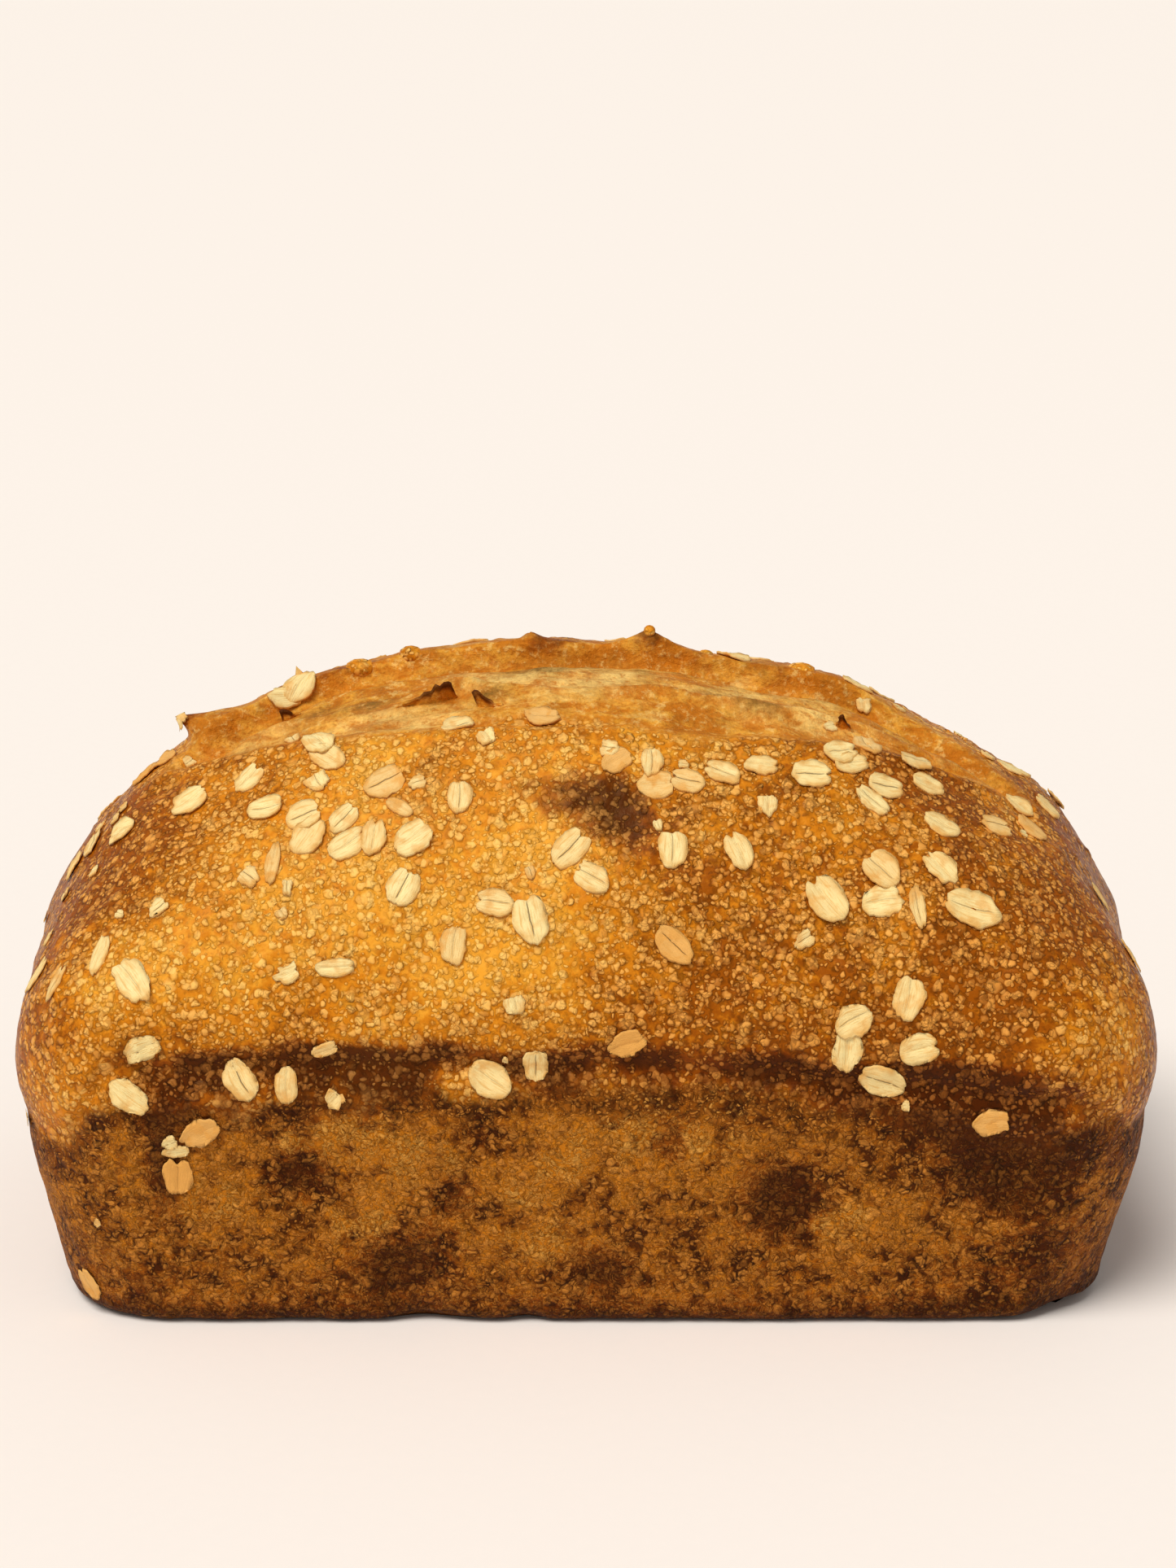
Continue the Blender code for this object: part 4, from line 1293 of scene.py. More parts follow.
def oat_places(look):
    """Every whole oat's place, angle, length, width share, turn and toasting."""
    draw = random.Random(look.seed)
    kinds = (
        (look.width_share, 0.0, WHOLE_OATS),
        (look.width_share, OAT_TOASTED, TOASTED_OATS),
        (SLIM_WIDTH_SHARE, 0.0, SLIM_OATS),
    )
    places = []
    for width_share, toasting, rows in kinds:
        for x, angle, turn, length in rows:
            draw.uniform(*SPARE_DRAW)
            spot = (x / 1000, math.radians(angle), length / 1000, width_share, math.radians(turn))
            places.append((*spot, toasting))
    scattered = []
    for _ in range(SCATTER_TRIES):
        x = draw.uniform(-SCATTER_REACH_X, SCATTER_REACH_X)
        angle = math.radians(draw.uniform(*SCATTER_ANGLES))
        length = look.length * draw.uniform(*OAT_SIZES)
        turn = draw.uniform(0, math.tau)
        draw.uniform(*SPARE_DRAW)
        unrolled = Vector((x, SCATTER_RADIUS * angle))
        if all((unrolled - other).length > SCATTER_ROOM for other in scattered):
            scattered.append(unrolled)
            places.append((x, angle, length, look.width_share, turn, 0.0))
    return places


def broken_oat_places(look, whole):
    """The same for broken flakes: those of the front, then a scatter on the rear."""
    draw = random.Random(look.seed + 1)
    places = []
    for x, angle, turn, length in BROKEN_OATS:
        width_share = draw.uniform(*BROKEN_WIDTH_SHARES)
        places.append((x / 1000, math.radians(angle), length / 1000, width_share, math.radians(turn), 0.0))
    taken = [Vector((place[0], SCATTER_RADIUS * place[1])) for place in whole]
    for _ in range(BROKEN_SCATTER_TRIES):
        x = draw.uniform(-SCATTER_REACH_X, SCATTER_REACH_X)
        angle = math.radians(draw.uniform(*SCATTER_ANGLES))
        length = look.length * draw.uniform(*BROKEN_SIZES)
        turn = draw.uniform(0, math.tau)
        unrolled = Vector((x, SCATTER_RADIUS * angle))
        if all((unrolled - other).length > BROKEN_ROOM for other in taken):
            taken.append(unrolled)
            places.append((x, angle, length, draw.uniform(*BROKEN_WIDTH_SHARES), turn, 0.0))
    return places


def oat_outline(draw, broken):
    """One flake's own shape: how its outline, crease and curl differ from the plain oval."""
    return {
        "width": draw.uniform(*OAT_WIDTHS),
        "ragged": draw.uniform(*OAT_RAGGED[broken]),
        "blunt": draw.uniform(*OAT_BLUNT_BROKEN) if broken else draw.choice(OAT_BLUNT_WHOLE),
        "notch": draw.choice(OAT_NOTCHES),
        "skew": draw.uniform(*OAT_SKEWS),
        "crease": draw.uniform(*OAT_CREASES),
        "curl_along": draw.uniform(*OAT_CURLS_ALONG),
        "curl_across": draw.uniform(*OAT_CURLS_ACROSS),
        "phase": draw.uniform(*OAT_PHASES),
    }


def flake_point(u, v, outline):
    """Where a point of a square from -1 to 1 lies on a flake 2 long, and how far it rises."""
    v = math.copysign(abs(v) ** OAT_CROWDING, v)
    x = u * math.sqrt(1 - v * v / 2)
    y = v * math.sqrt(1 - u * u / 2)
    out = math.hypot(u, v)
    phase = outline["phase"]
    ragged = sum(
        share * noise.noise(Vector((x * rate + phase, y * rate, lane)))
        for rate, lane, share in OAT_EDGE_WAVES
    )
    x, y = (Vector((x, y)) * (1 + outline["ragged"] * ragged * min(out, 1.0))).to_tuple()
    blunt = outline["blunt"]
    if x > blunt:
        rate, lane, share = OAT_TEETH
        tooth = share * noise.noise(Vector((phase, y * rate, lane)))
        x = blunt + (x - blunt) * OAT_PRESSED + tooth * smooth_step(*OAT_TEETH_FROM, u)
    x -= outline["notch"] * hump(y, 0.0, OAT_NOTCH_WIDTH) * smooth_step(*OAT_NOTCH_FROM, u)
    y = y * outline["width"] + outline["skew"] * x * x
    rise = outline["curl_along"] * x * x * OAT_CURL_SHARES[0]
    rise += outline["curl_across"] * y * y * OAT_CURL_SHARES[1]
    rise -= outline["crease"] * hump(y, 0.0, OAT_CREASE_WIDTH) * (1 - x * x)
    rate, lane, share = OAT_FLAT_WAVE
    rise += share * noise.noise(Vector((x * rate + phase, y * rate, lane)))
    return x, y, rise


def add_oat(oats, layers, tree, place, outline, shares):
    """Lay one flake on the crust, following the crust's own rise under it."""
    x, angle, length, width_share, turn, _ = place
    turned = seat(tree, x, angle) @ Matrix.Rotation(turn, 4, "Z")
    outward = turned.col[2].to_3d()
    half_length, half_width = length / 2, length * width_share / 2
    made = bmesh.ops.create_grid(
        oats, x_segments=OAT_GRID[0], y_segments=OAT_GRID[1], size=1.0, calc_uvs=True
    )
    faces = {face for vert in made["verts"] for face in vert.link_faces}
    for vert in made["verts"]:
        along, across, rise = flake_point(vert.co.x, vert.co.y, outline)
        flat = turned @ Vector((along * half_length, across * half_width, 0.0))
        ground = tree.ray_cast(flat + outward * OAT_LOOK_FROM, -outward, OAT_LOOK_REACH)[0] or flat
        stand = OAT_THICKNESS - OAT_SINK + rise * half_width * OAT_RISE_SHARE
        vert.co = flat.lerp(ground, OAT_FOLLOWS_CRUST) + outward * stand
        for layer, share in zip(layers, shares):
            vert[layer] = share
    bmesh.ops.solidify(oats, geom=list(faces), thickness=OAT_THICKNESS)


def place_in_scene(name, data):
    """Link new mesh, light or camera data into the scene as an object."""
    placed = bpy.data.objects.new(name, data)
    bpy.context.scene.collection.objects.link(placed)
    return placed


def mesh_object(name, shape, material):
    """Turn a bmesh into an object with its material."""
    mesh = bpy.data.meshes.new(name)
    shape.to_mesh(mesh)
    shape.free()
    mesh.materials.append(material)
    return place_in_scene(name, mesh)


def add_piece(name, shape, material):
    """Turn a bmesh into a piece of the loaf that moves with its body."""
    piece = mesh_object(name, shape, material)
    piece.data.shade_smooth()
    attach(piece, BODY)
    return piece


class Wiring:
    """Short ways to add nodes to one tree and join them."""

    def __init__(self, tree):
        self.tree = tree

    def add(self, kind, **settings):
        """A node with its settings."""
        node = self.tree.nodes.new(kind)
        for name, value in settings.items():
            setattr(node, name, value)
        return node

    def feed(self, socket, value):
        """Give an input a value, or join it to another node's output."""
        if isinstance(value, bpy.types.NodeSocket):
            self.tree.links.new(value, socket)
        elif socket.type == "RGBA":
            socket.default_value = (*value, 1.0)
        else:
            socket.default_value = value

    def math(self, operation, first, second=0.0, third=0.0, clamp=False):
        """One sum."""
        node = self.add("ShaderNodeMath", operation=operation, use_clamp=clamp)
        for socket, value in zip(node.inputs, (first, second, third)):
            self.feed(socket, value)
        return node.outputs[0]

    def plus(self, first, second, clamp=False):
        """Two numbers added."""
        return self.math("ADD", first, second, clamp=clamp)

    def minus(self, first, second, clamp=False):
        """One number taken from another."""
        return self.math("SUBTRACT", first, second, clamp=clamp)

    def times(self, first, second):
        """Two numbers multiplied."""
        return self.math("MULTIPLY", first, second)

    def scaled(self, value, factor, base):
        """A number scaled and set on a base."""
        return self.math("MULTIPLY_ADD", value, factor, base)

    def larger(self, first, second):
        """The larger of two numbers."""
        return self.math("MAXIMUM", first, second)

    def rise(self, value, low, high, start=0.0, end=1.0):
        """A smooth change from start to end as the value goes from low to high."""
        node = self.add("ShaderNodeMapRange", interpolation_type="SMOOTHSTEP")
        for socket, fed in zip(node.inputs, (value, low, high, start, end)):
            self.feed(socket, fed)
        return node.outputs["Result"]

    def mix(self, share, first, second, blend="MIX"):
        """Two colours mixed."""
        node = self.add("ShaderNodeMix", data_type="RGBA", blend_type=blend)
        colours = [socket for socket in node.inputs if socket.type == "RGBA"]
        self.feed(node.inputs[0], share)
        self.feed(colours[0], first)
        self.feed(colours[1], second)
        return next(socket for socket in node.outputs if socket.type == "RGBA")

    def between(self, share, first, second):
        """Two numbers mixed."""
        node = self.add("ShaderNodeMix", data_type="FLOAT")
        self.feed(node.inputs[0], share)
        self.feed(node.inputs[2], first)
        self.feed(node.inputs[3], second)
        return node.outputs[0]

    def noise(self, vector, scale, detail=2.0, roughness=0.5, distortion=0.0):
        """A soft random pattern, 0 to 1."""
        node = self.add("ShaderNodeTexNoise")
        values = {"Scale": scale, "Detail": detail, "Roughness": roughness, "Distortion": distortion}
        self.feed(node.inputs["Vector"], vector)
        for name, value in values.items():
            self.feed(node.inputs[name], value)
        return node.outputs

    def pattern(self, vector, name):
        """One of the materials' own random patterns."""
        return self.noise(vector, *PATTERNS[name])["Fac"]

    def ramp(self, value, name):
        """One of the materials' own ramps."""
        return self.rise(value, *RAMPS[name])

    def share(self, name):
        """A number kept on the mesh."""
        return self.add("ShaderNodeAttribute", attribute_name=name).outputs["Fac"]

    def stretched(self, vector, scale):
        """A vector with its axes scaled."""
        node = self.add("ShaderNodeMapping")
        self.feed(node.inputs["Vector"], vector)
        self.feed(node.inputs["Scale"], scale)
        return node.outputs["Vector"]

    def shaken(self, vector, rate, reach):
        """A vector moved a little at random, so that round things lose their true roundness."""
        wobble = self.noise(vector, rate, 1.0)["Color"]
        shift = self.add("ShaderNodeVectorMath", operation="MULTIPLY_ADD")
        self.feed(shift.inputs[0], wobble)
        self.feed(shift.inputs[1], (reach, reach, reach))
        self.feed(shift.inputs[2], vector)
        return shift.outputs[0]


def new_group(name, inputs, outputs):
    """An empty shader node group with named sockets, and its wiring."""
    group = bpy.data.node_groups.new(name, "ShaderNodeTree")
    for socket_name, kind, default in inputs:
        socket = group.interface.new_socket(socket_name, in_out="INPUT", socket_type=kind)
        if default is not None:
            socket.default_value = default
    for socket_name, kind in outputs:
        group.interface.new_socket(socket_name, in_out="OUTPUT", socket_type=kind)
    wiring = Wiring(group)
    entry = wiring.add("NodeGroupInput")
    leave = wiring.add("NodeGroupOutput")
    return wiring, entry.outputs, leave.inputs


def blister_group():
    """Round blisters of uneven size: their mask, height, tone, and painted shade round each one's foot."""
    wiring, given, result = new_group(
        "Blisters",
        (
            ("Vector", "NodeSocketVector", None),
            ("Rate", "NodeSocketFloat", 500.0),
            ("Size", "NodeSocketFloat", 0.4),
            ("Bareness", "NodeSocketFloat", 0.3),
        ),
        (
            ("Mask", "NodeSocketFloat"),
            ("Height", "NodeSocketFloat"),
            ("Tone", "NodeSocketFloat"),
            ("Ring", "NodeSocketFloat"),
        ),
    )
    cells = wiring.add("ShaderNodeTexVoronoi", feature="F1", distance="EUCLIDEAN")
    wiring.feed(cells.inputs["Vector"], given["Vector"])
    wiring.feed(cells.inputs["Scale"], given["Rate"])
    tones = wiring.add("ShaderNodeSeparateColor")
    wiring.feed(tones.inputs[0], cells.outputs["Color"])
    here = wiring.math("GREATER_THAN", tones.outputs[0], given["Bareness"])
    spread = wiring.scaled(tones.outputs[1], *BLISTER_SPREAD)
    radius = wiring.times(given["Size"], spread)
    apart = wiring.math("DIVIDE", cells.outputs["Distance"], radius)
    mask = wiring.times(wiring.ramp(apart, "blister"), here)
    # The blister's foot, where shade is painted round it
    foot_shade = wiring.times(wiring.ramp(apart, "ring begins"), wiring.ramp(apart, "ring ends"))
    dome = wiring.minus(1.0, wiring.times(apart, apart), clamp=True)
    wiring.feed(result["Mask"], mask)
    domed = wiring.math("POWER", dome, BLISTER_DOME)
    wiring.feed(result["Height"], wiring.times(domed, here))
    wiring.feed(result["Tone"], tones.outputs[2])
    wiring.feed(result["Ring"], wiring.times(foot_shade, here))
    return wiring.tree


def mottle_group():
    """Uneven browning: a colour made darker and lighter at two scales."""
    wiring, given, result = new_group(
        "Mottling",
        (
            ("Vector", "NodeSocketVector", None),
            ("Colour", "NodeSocketColor", None),
            ("Rate", "NodeSocketFloat", 120.0),
            ("Depth", "NodeSocketFloat", 0.3),
        ),
        (("Colour", "NodeSocketColor"), ("Grain", "NodeSocketFloat")),
    )
    broad = wiring.noise(given["Vector"], given["Rate"], *MOTTLE_BROAD)["Fac"]
    fine_rate = wiring.times(given["Rate"], MOTTLE_FINER)
    fine = wiring.noise(given["Vector"], fine_rate, *MOTTLE_FINE)["Fac"]
    both = wiring.plus(wiring.times(broad, MOTTLE_SHARES[0]), wiring.times(fine, MOTTLE_SHARES[1]))
    swing = wiring.times(wiring.minus(both, 0.5), MOTTLE_SWING)
    factor = wiring.scaled(swing, given["Depth"], 1.0)
    wiring.feed(result["Colour"], dimmed(wiring, given["Colour"], factor))
    wiring.feed(result["Grain"], fine)
    return wiring.tree


def place_group(wiring, name, **values):
    """Put a shader node group into a material with its own values, and return its outputs."""
    makers = {"Blisters": blister_group, "Mottling": mottle_group}
    group = bpy.data.node_groups.get(name) or makers[name]()
    node = wiring.add("ShaderNodeGroup", node_tree=group)
    for socket, value in values.items():
        wiring.feed(node.inputs[socket.capitalize()], value)
    return node.outputs


def new_material(name):
    """An empty material with its surface shader, wiring and object coordinates."""
    material = bpy.data.materials.new(name)
    material.use_nodes = True
    surface = material.node_tree.nodes["Principled BSDF"]
    wiring = Wiring(material.node_tree)
    coordinates = wiring.add("ShaderNodeTexCoord").outputs["Object"]
    return material, surface, wiring, coordinates


def bump_from(wiring, surface, height):
    """Let a height in metres bend the surface's light."""
    bump = wiring.add("ShaderNodeBump")
    bump.inputs["Strength"].default_value = 1.0
    bump.inputs["Distance"].default_value = 1.0
    wiring.feed(bump.inputs["Height"], height)
    wiring.feed(surface.inputs["Normal"], bump.outputs[0])


def dimmed(wiring, colour, factor):
    """A colour scaled by a number."""
    node = wiring.add("ShaderNodeVectorMath", operation="SCALE")
    wiring.feed(node.inputs[0], colour)
    wiring.feed(node.inputs["Scale"], factor)
    return node.outputs[0]


def darkened(wiring, colour, darkening, char_colour):
    """A colour browned by scorching and painted shade, from as it is (0) to caramelised (1)."""
    browner = wiring.mix(1.0, colour, DARKENING_TINT, "MULTIPLY")
    colour = wiring.mix(wiring.ramp(darkening, "scorch tint"), colour, browner)
    return wiring.mix(wiring.ramp(darkening, "caramel_and_shade"), colour, char_colour)


def free_crust_look(wiring, place, colours, brown, darkening):
    """Colour and height of the blistered crust above the rim."""
    shaken = wiring.shaken(place, *BLISTER_SHAKE)
    drift = wiring.pattern(place, "browning")
    gaps = wiring.pattern(place, "gaps")
    browned = wiring.scaled(wiring.minus(drift, 0.5), BROWNING_SWING, brown)
    deep = wiring.scaled(wiring.minus(gaps, GAP_MIDDLE), GAP_SWING, browned)
    ground = wiring.mix(wiring.ramp(deep, "amber over gold"), colours.gold, colours.amber)
    ground = wiring.mix(wiring.ramp(deep, "brown over amber"), ground, colours.brown)
    blister = wiring.mix(wiring.ramp(browned, "brown blisters"), colours.blister_gold, colours.blister_brown)
    blister = darkened(wiring, blister, wiring.times(darkening, BLISTER_DARKENING), colours.char)
    colour = darkened(wiring, ground, darkening, colours.char)
    height = wiring.times(gaps, GAP_RELIEF)
    crowding = wiring.pattern(place, "crowding")
    foot_shading = wiring.ramp(browned, "blister foot shade")
    for rate, size, bare, strength, foot_shade, rise in BLISTER_LAYERS:
        least, most = (bare + swing for swing in BARENESS_SWING)
        bareness = wiring.rise(crowding, *CROWDING, least, most)
        blisters = place_group(wiring, "Blisters", vector=shaken, rate=rate, size=size, bareness=bareness)
        # Painted shade round each blister's foot, deeper on browner crust
        darker = wiring.times(blisters["Ring"], wiring.times(foot_shading, -foot_shade))
        colour = dimmed(wiring, colour, wiring.plus(darker, 1.0))
        tone = wiring.rise(blisters["Tone"], 0.0, 1.0, strength * FAINTEST_BLISTER, strength)
        share = wiring.times(blisters["Mask"], tone)
        colour = wiring.mix(share, colour, blister)
        height = wiring.plus(height, wiring.times(blisters["Height"], rise))
    return colour, height


def tin_crust_look(wiring, place, colours, pale, fine, darkening):
    """Colour and height of the crust that baked against the tin: sandy near the rim, lumpy below."""
    shaken = wiring.shaken(place, *GRAIN_SHAKE)
    broad = wiring.pattern(place, "tin patches")
    lumps = wiring.pattern(shaken, "tin lumps")
    curls = wiring.pattern(place, "tin curls")
    strands = wiring.ramp(wiring.math("ABSOLUTE", wiring.minus(curls, 0.5)), "tin strands")
    patchy = wiring.times(wiring.minus(broad, PATCH_MIDDLE), PATCH_SWING)
    lumpy = wiring.scaled(pale, PALE_LUMPS, wiring.plus(lumps, patchy))
    sandy = wiring.scaled(lumps, SANDY_LUMPS, wiring.scaled(patchy, *SANDY_PATCHES))
    grain = wiring.between(fine, lumpy, sandy)
    ground = wiring.mix(wiring.ramp(grain, "brown over dark"), colours.tin_dark, colours.tin)
    ground = wiring.mix(wiring.ramp(grain, "orange over brown"), ground, colours.tin_orange)
    colour = darkened(wiring, ground, darkening, colours.char)
    shown = wiring.ramp(darkening, "grain under scorch")
    top = wiring.mix(wiring.ramp(pale, "pale grain"), colours.tin_tan, colours.tin_pale)
    height = wiring.times(grain, LUMP_RELIEF)
    for rate, size, bare, near, far, rise in GRAIN_LAYERS:
        grains = place_group(wiring, "Blisters", vector=shaken, rate=rate, size=size, bareness=bare)
        strength = wiring.times(wiring.between(fine, far, near), shown)
        # Painted shade round each grain's foot
        colour = dimmed(wiring, colour, wiring.scaled(grains["Ring"], GRAIN_FOOT_SHADE, 1.0))
        share = wiring.times(grains["Mask"], wiring.times(grains["Tone"], strength))
        colour = wiring.mix(share, colour, top)
        height = wiring.plus(height, wiring.times(grains["Height"], rise))
    curled = wiring.times(strands, wiring.ramp(lumpy, "curls on lumps"))
    curled = wiring.times(curled, wiring.between(fine, *CURL_STRENGTHS))
    curled = wiring.times(curled, shown)
    colour = wiring.mix(curled, colour, top)
    height = wiring.plus(height, wiring.times(curled, CURL_RELIEF))
    return colour, height


def score_look(wiring, place, colours, pale, dim, brown, darkening):
    """Colour and height of the torn, streaky inside of the score."""
    streaks = wiring.pattern(wiring.stretched(place, STREAK_STRETCH), "score streaks")
    clouds = wiring.pattern(wiring.stretched(place, CLOUD_STRETCH), "score clouds")
    speckle = wiring.pattern(place, "score specks")
    colour = wiring.mix(wiring.ramp(streaks, "torn gold"), colours.score_brown, colours.score)
    colour = wiring.mix(wiring.ramp(clouds, "torn brown clouds"), colour, colours.score_brown)
    paleness = wiring.plus(wiring.ramp(clouds, "torn pale clouds"), pale, clamp=True)
    paleness = wiring.times(paleness, wiring.ramp(streaks, "torn pale streaks"))
    colour = wiring.mix(paleness, colour, colours.score_pale)
    colour = wiring.mix(wiring.ramp(speckle, "torn pale specks"), colour, colours.score_pale)
    colour = wiring.mix(wiring.ramp(speckle, "torn brown specks"), colour, colours.score_brown)
    # Painted shadow in the score's hollows, dull and olive
    shadowing = wiring.times(dim, wiring.ramp(speckle, "torn shadow specks"))
    colour = wiring.mix(shadowing, colour, colours.score_olive)
    colour = wiring.mix(wiring.ramp(brown, "browned score"), colour, colours.score_brown)
    rate, depth = SCORE_MOTTLE
    mottled = place_group(wiring, "Mottling", vector=place, colour=colour, rate=rate, depth=depth)
    colour = darkened(wiring, mottled["Colour"], darkening, colours.char)
    bumps = wiring.times(speckle, SPECK_RELIEF)
    height = wiring.scaled(streaks, STREAK_RELIEF, bumps)
    return colour, height


def crust_material(colours):
    """The whole crust: free above the rim, sandy below it, torn in the score, dark where scorching
    browned it and where shade is painted.
    """
    material, surface, wiring, place = new_material("baked crust")
    tin, score, char, pale, brown, dim, fine = (wiring.share(name) for name in ZONE_NAMES)
    fleck = wiring.pattern(place, "flecks")
    # Darkening by scorching and by painted shade, ragged at its edges
    ragged = wiring.scaled(wiring.minus(fleck, 0.5), DARKENING_RAGGED, char)
    darkening = wiring.times(wiring.ramp(ragged, "darkening"), wiring.ramp(char, "burnt from"))
    free_colour, free_height = free_crust_look(wiring, place, colours, brown, darkening)
    tin_colour, tin_height = tin_crust_look(wiring, place, colours, pale, fine, darkening)
    score_colour, score_height = score_look(wiring, place, colours, pale, dim, brown, darkening)
    colour = wiring.mix(score, wiring.mix(tin, free_colour, tin_colour), score_colour)
    wiring.feed(surface.inputs["Base Color"], colour)
    height = wiring.between(score, wiring.between(tin, free_height, tin_height), score_height)
    bump_from(wiring, surface, height)
    matt = wiring.scaled(tin, TIN_ROUGHER, wiring.times(score, SCORE_ROUGHER))
    roughness = wiring.plus(wiring.scaled(fleck, *CRUST_ROUGHNESS), matt)
    wiring.feed(surface.inputs["Roughness"], roughness)
    surface.inputs["Specular IOR Level"].default_value = CRUST_SHEEN
    surface.inputs["Specular Tint"].default_value = CRUST_SHEEN_TINT
    return material


def oat_material(look):
    """A dry rolled oat: cream, with fibres along it, a thin dark crease, some toasted."""
    material, surface, wiring, place = new_material("rolled oat")
    flat = wiring.add("ShaderNodeUVMap").outputs["UV"]
    toast = wiring.share("toast")
    fibres = wiring.pattern(wiring.stretched(flat, FIBRE_STRETCH), "oat fibres")
    parts = wiring.add("ShaderNodeSeparateXYZ")
    wiring.feed(parts.inputs[0], flat)
    broad = wiring.pattern(place, "oat patches")
    sway = wiring.scaled(broad, *CREASE_SWAY)
    across = wiring.math("ABSOLUTE", wiring.plus(parts.outputs["Y"], sway))
    along = wiring.math("ABSOLUTE", wiring.minus(parts.outputs["X"], 0.5))
    crease = wiring.times(wiring.ramp(across, "crease across"), wiring.ramp(along, "crease along"))
    crease = wiring.times(crease, wiring.share("creased"))
    rim = wiring.larger(wiring.ramp(across, "oat edge across"), wiring.ramp(along, "oat edge along"))
    rim = wiring.times(rim, wiring.ramp(broad, "patchy oat edge"))
    lines = wiring.ramp(fibres, "fibre lines")
    shade = wiring.larger(wiring.times(rim, EDGE_SHARE), wiring.times(lines, FIBRE_SHARE))
    colour = wiring.mix(shade, look.cream, look.edge)
    tanned = wiring.plus(toast, wiring.ramp(broad, "tanned oat patches"), clamp=True)
    colour = wiring.mix(tanned, colour, look.toasted)
    colour = wiring.mix(wiring.times(crease, CREASE_DARKNESS), colour, look.crease)
    rate, depth = OAT_MOTTLE
    mottled = place_group(wiring, "Mottling", vector=place, colour=colour, rate=rate, depth=depth)
    wiring.feed(surface.inputs["Base Color"], mottled["Colour"])
    height = wiring.scaled(crease, CREASE_RELIEF, wiring.times(fibres, FIBRE_RELIEF))
    height = wiring.plus(height, wiring.times(mottled["Grain"], OAT_GRAIN_RELIEF))
    bump_from(wiring, surface, height)
    wiring.feed(surface.inputs["Roughness"], wiring.ramp(fibres, "oat roughness"))
    surface.inputs["Specular IOR Level"].default_value = OAT_SHEEN
    return material


def floor_material(look):
    """Pale, matt studio floor."""
    material, surface, wiring, place = new_material("studio floor")
    grain = wiring.pattern(place, "floor grain")
    darker = tuple(channel * FLOOR_DARKEST for channel in look.floor)
    wiring.feed(surface.inputs["Base Color"], wiring.mix(grain, darker, tuple(look.floor)))
    surface.inputs["Roughness"].default_value = FLOOR_ROUGHNESS
    surface.inputs["Specular IOR Level"].default_value = FLOOR_SHEEN
    return material


def find_crust(context):
    """The crust that the first operator made, and a tree of its faces to look things up in."""
    crust = context.scene.objects.get("crust")
    if crust is None:
        raise RuntimeError("Model the crust first: nothing else has a place to stand")
    return crust, BVHTree.FromObject(crust, context.evaluated_depsgraph_get())


class LOAF_OT_crust(bpy.types.Operator):
    """Model the crust with its rim, bubbles, score, ear and horn"""

    bl_idname = "loaf.crust"
    bl_label = "Crust"

    def execute(self, context):
        crust, zones = shape_crust(plain_sizes(context.scene.loaf_sizes))
        piece = add_piece("crust", crust, crust_material(context.scene.crust_colours))
        for name, values in zones.items():
            store_share(piece.data, name, values)
        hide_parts(LOAF_NODE)
        return {"FINISHED"}


class LOAF_OT_torn_edges(bpy.types.Operator):
    """Raise the torn flaps of the score on the crust"""

    bl_idname = "loaf.torn_edges"
    bl_label = "Torn edges"

    def execute(self, context):
        crust, tree = find_crust(context)
        flaps = bmesh.new()
        layers = [flaps.verts.layers.float.new(name) for name in ("char", "score", "brown")]
        for row in TORN_FLAPS:
            add_flap(flaps, tree, row, layers)
        for row in KNOBS:
            add_knob(flaps, tree, row, layers[2])
        piece = add_piece("torn_edges", flaps, crust.data.materials[0])
        return {"FINISHED"}


class LOAF_OT_oats(bpy.types.Operator):
    """Lay whole and broken rolled oats on the crust"""

    bl_idname = "loaf.oats"
    bl_label = "Rolled oats"

    def execute(self, context):
        tree = find_crust(context)[1]
        look = context.scene.oat_look
        draw = random.Random(look.seed + 2)
        whole = oat_places(look)
        broken = broken_oat_places(look, whole)
        oats = bmesh.new()
        oats.loops.layers.uv.new("UVMap")
        layers = [oats.verts.layers.float.new(name) for name in ("toast", "creased")]
        for places, in_pieces in ((whole, False), (broken, True)):
            for place in places:
                toast = place[-1] + min(max(draw.gauss(*OAT_TOASTING), 0.0), OAT_MOST_TOASTED)
                creased = draw.choice(CREASE_SHARES)
                add_oat(oats, layers, tree, place, oat_outline(draw, in_pieces), (toast, creased))
        bmesh.ops.recalc_face_normals(oats, faces=oats.faces)
        piece = add_piece("rolled_oats", oats, oat_material(look))
        return {"FINISHED"}


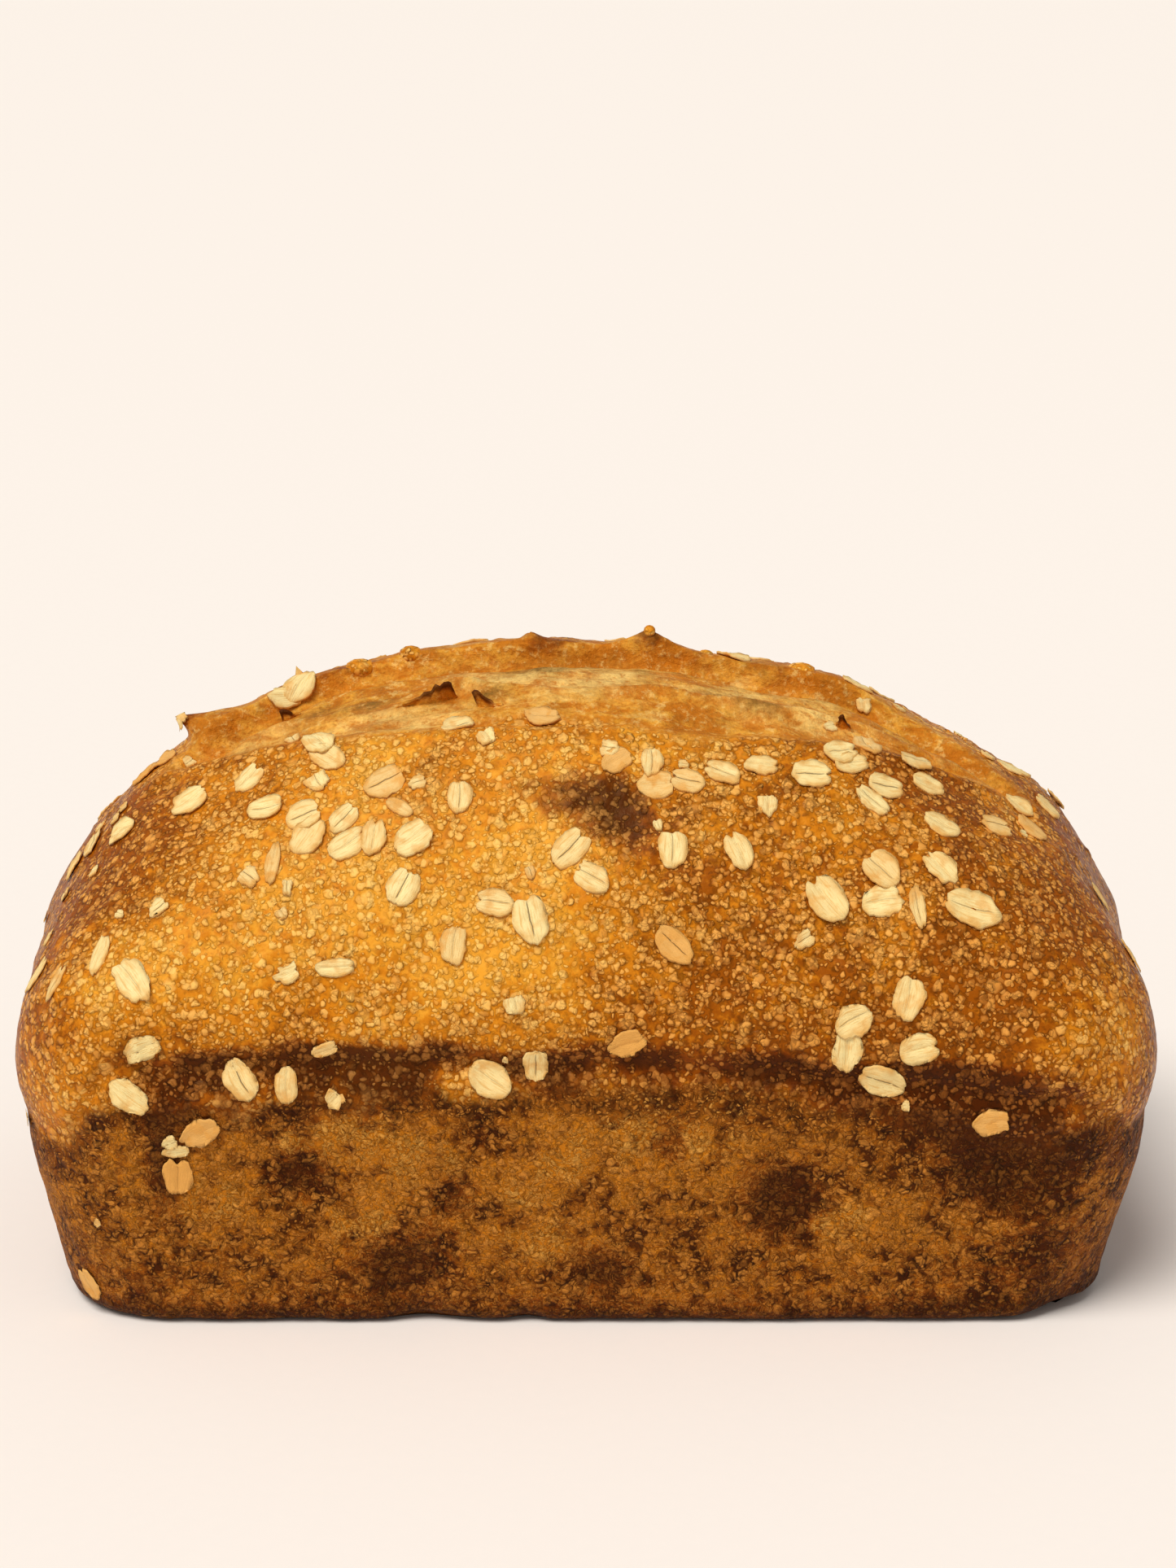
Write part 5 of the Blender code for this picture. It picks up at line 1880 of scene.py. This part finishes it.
class LOAF_OT_stage(bpy.types.Operator):
    """Set the loaf on a pale floor in soft light, before the camera"""

    bl_idname = "loaf.stage"
    bl_label = "Stage"

    def execute(self, context):
        look = context.scene.stage_look
        shape = bmesh.new()
        bmesh.ops.create_grid(shape, x_segments=1, y_segments=1, size=look.floor_size / 2)
        bmesh.ops.translate(shape, verts=shape.verts, vec=(0, 0, -FLOOR_GAP))
        floor = mesh_object("floor", shape, floor_material(look))
        lamp = bpy.data.lights.new("key light", "SUN")
        lamp.energy = look.key
        lamp.angle = look.key_spread
        lamp.color = KEY_TINT
        light = place_in_scene("key light", lamp)
        light.rotation_euler = Vector(KEY_DIRECTION).to_track_quat("-Z", "Y").to_euler()
        world = bpy.data.worlds.new("even light")
        context.scene.world = world
        world.use_nodes = True
        sky = world.node_tree.nodes["Background"]
        sky.inputs["Color"].default_value = (*SKY_TINT, 1.0)
        sky.inputs["Strength"].default_value = look.sky
        context.scene.view_settings.view_transform = "Standard"
        lens = bpy.data.cameras.new("camera")
        lens.lens = CAMERA_LENS
        lens.sensor_width = CAMERA_SENSOR
        lens.clip_start, lens.clip_end = CAMERA_SIGHT
        camera = place_in_scene("camera", lens)
        camera.location = CAMERA_PLACE
        camera.rotation_euler = (math.pi / 2 - CAMERA_DOWN, 0.0, 0.0)
        context.scene.camera = camera
        return {"FINISHED"}


SETTINGS = {
    "loaf_sizes": LoafSizes,
    "crust_colours": CrustColours,
    "oat_look": OatLook,
    "stage_look": StageLook,
}
STEPS = (
    (LOAF_OT_crust, ("loaf_sizes", "crust_colours")),
    (LOAF_OT_torn_edges, ()),
    (LOAF_OT_oats, ("oat_look",)),
    (LOAF_OT_stage, ("stage_look",)),
)


class LOAF_PT_panel(bpy.types.Panel):
    """Lists the loaf's operators with their sizes and colours"""

    bl_label = "Sourdough loaf"
    bl_space_type = "VIEW_3D"
    bl_region_type = "UI"
    bl_category = "Loaf"

    def draw(self, context):
        for operator, groups in STEPS:
            box = self.layout.box()
            box.operator(operator.bl_idname)
            for group in groups:
                settings = getattr(context.scene, group)
                for name in settings.__annotations__:
                    box.prop(settings, name)


def register():
    """Add the settings, operators and panel."""
    for name, group in SETTINGS.items():
        bpy.utils.register_class(group)
        setattr(bpy.types.Scene, name, PointerProperty(type=group))
    for operator, _ in STEPS:
        bpy.utils.register_class(operator)
    bpy.utils.register_class(LOAF_PT_panel)


def unregister():
    """Take the panel, operators and settings away."""
    bpy.utils.unregister_class(LOAF_PT_panel)
    for operator, _ in reversed(STEPS):
        bpy.utils.unregister_class(operator)
    for name, group in reversed(SETTINGS.items()):
        delattr(bpy.types.Scene, name)
        bpy.utils.unregister_class(group)


def main():
    """Make the loaf and its stage."""
    register()
    bpy.ops.loaf.crust()
    bpy.ops.loaf.torn_edges()
    bpy.ops.loaf.oats()
    bpy.ops.loaf.stage()


if __name__ == "__main__":
    main()
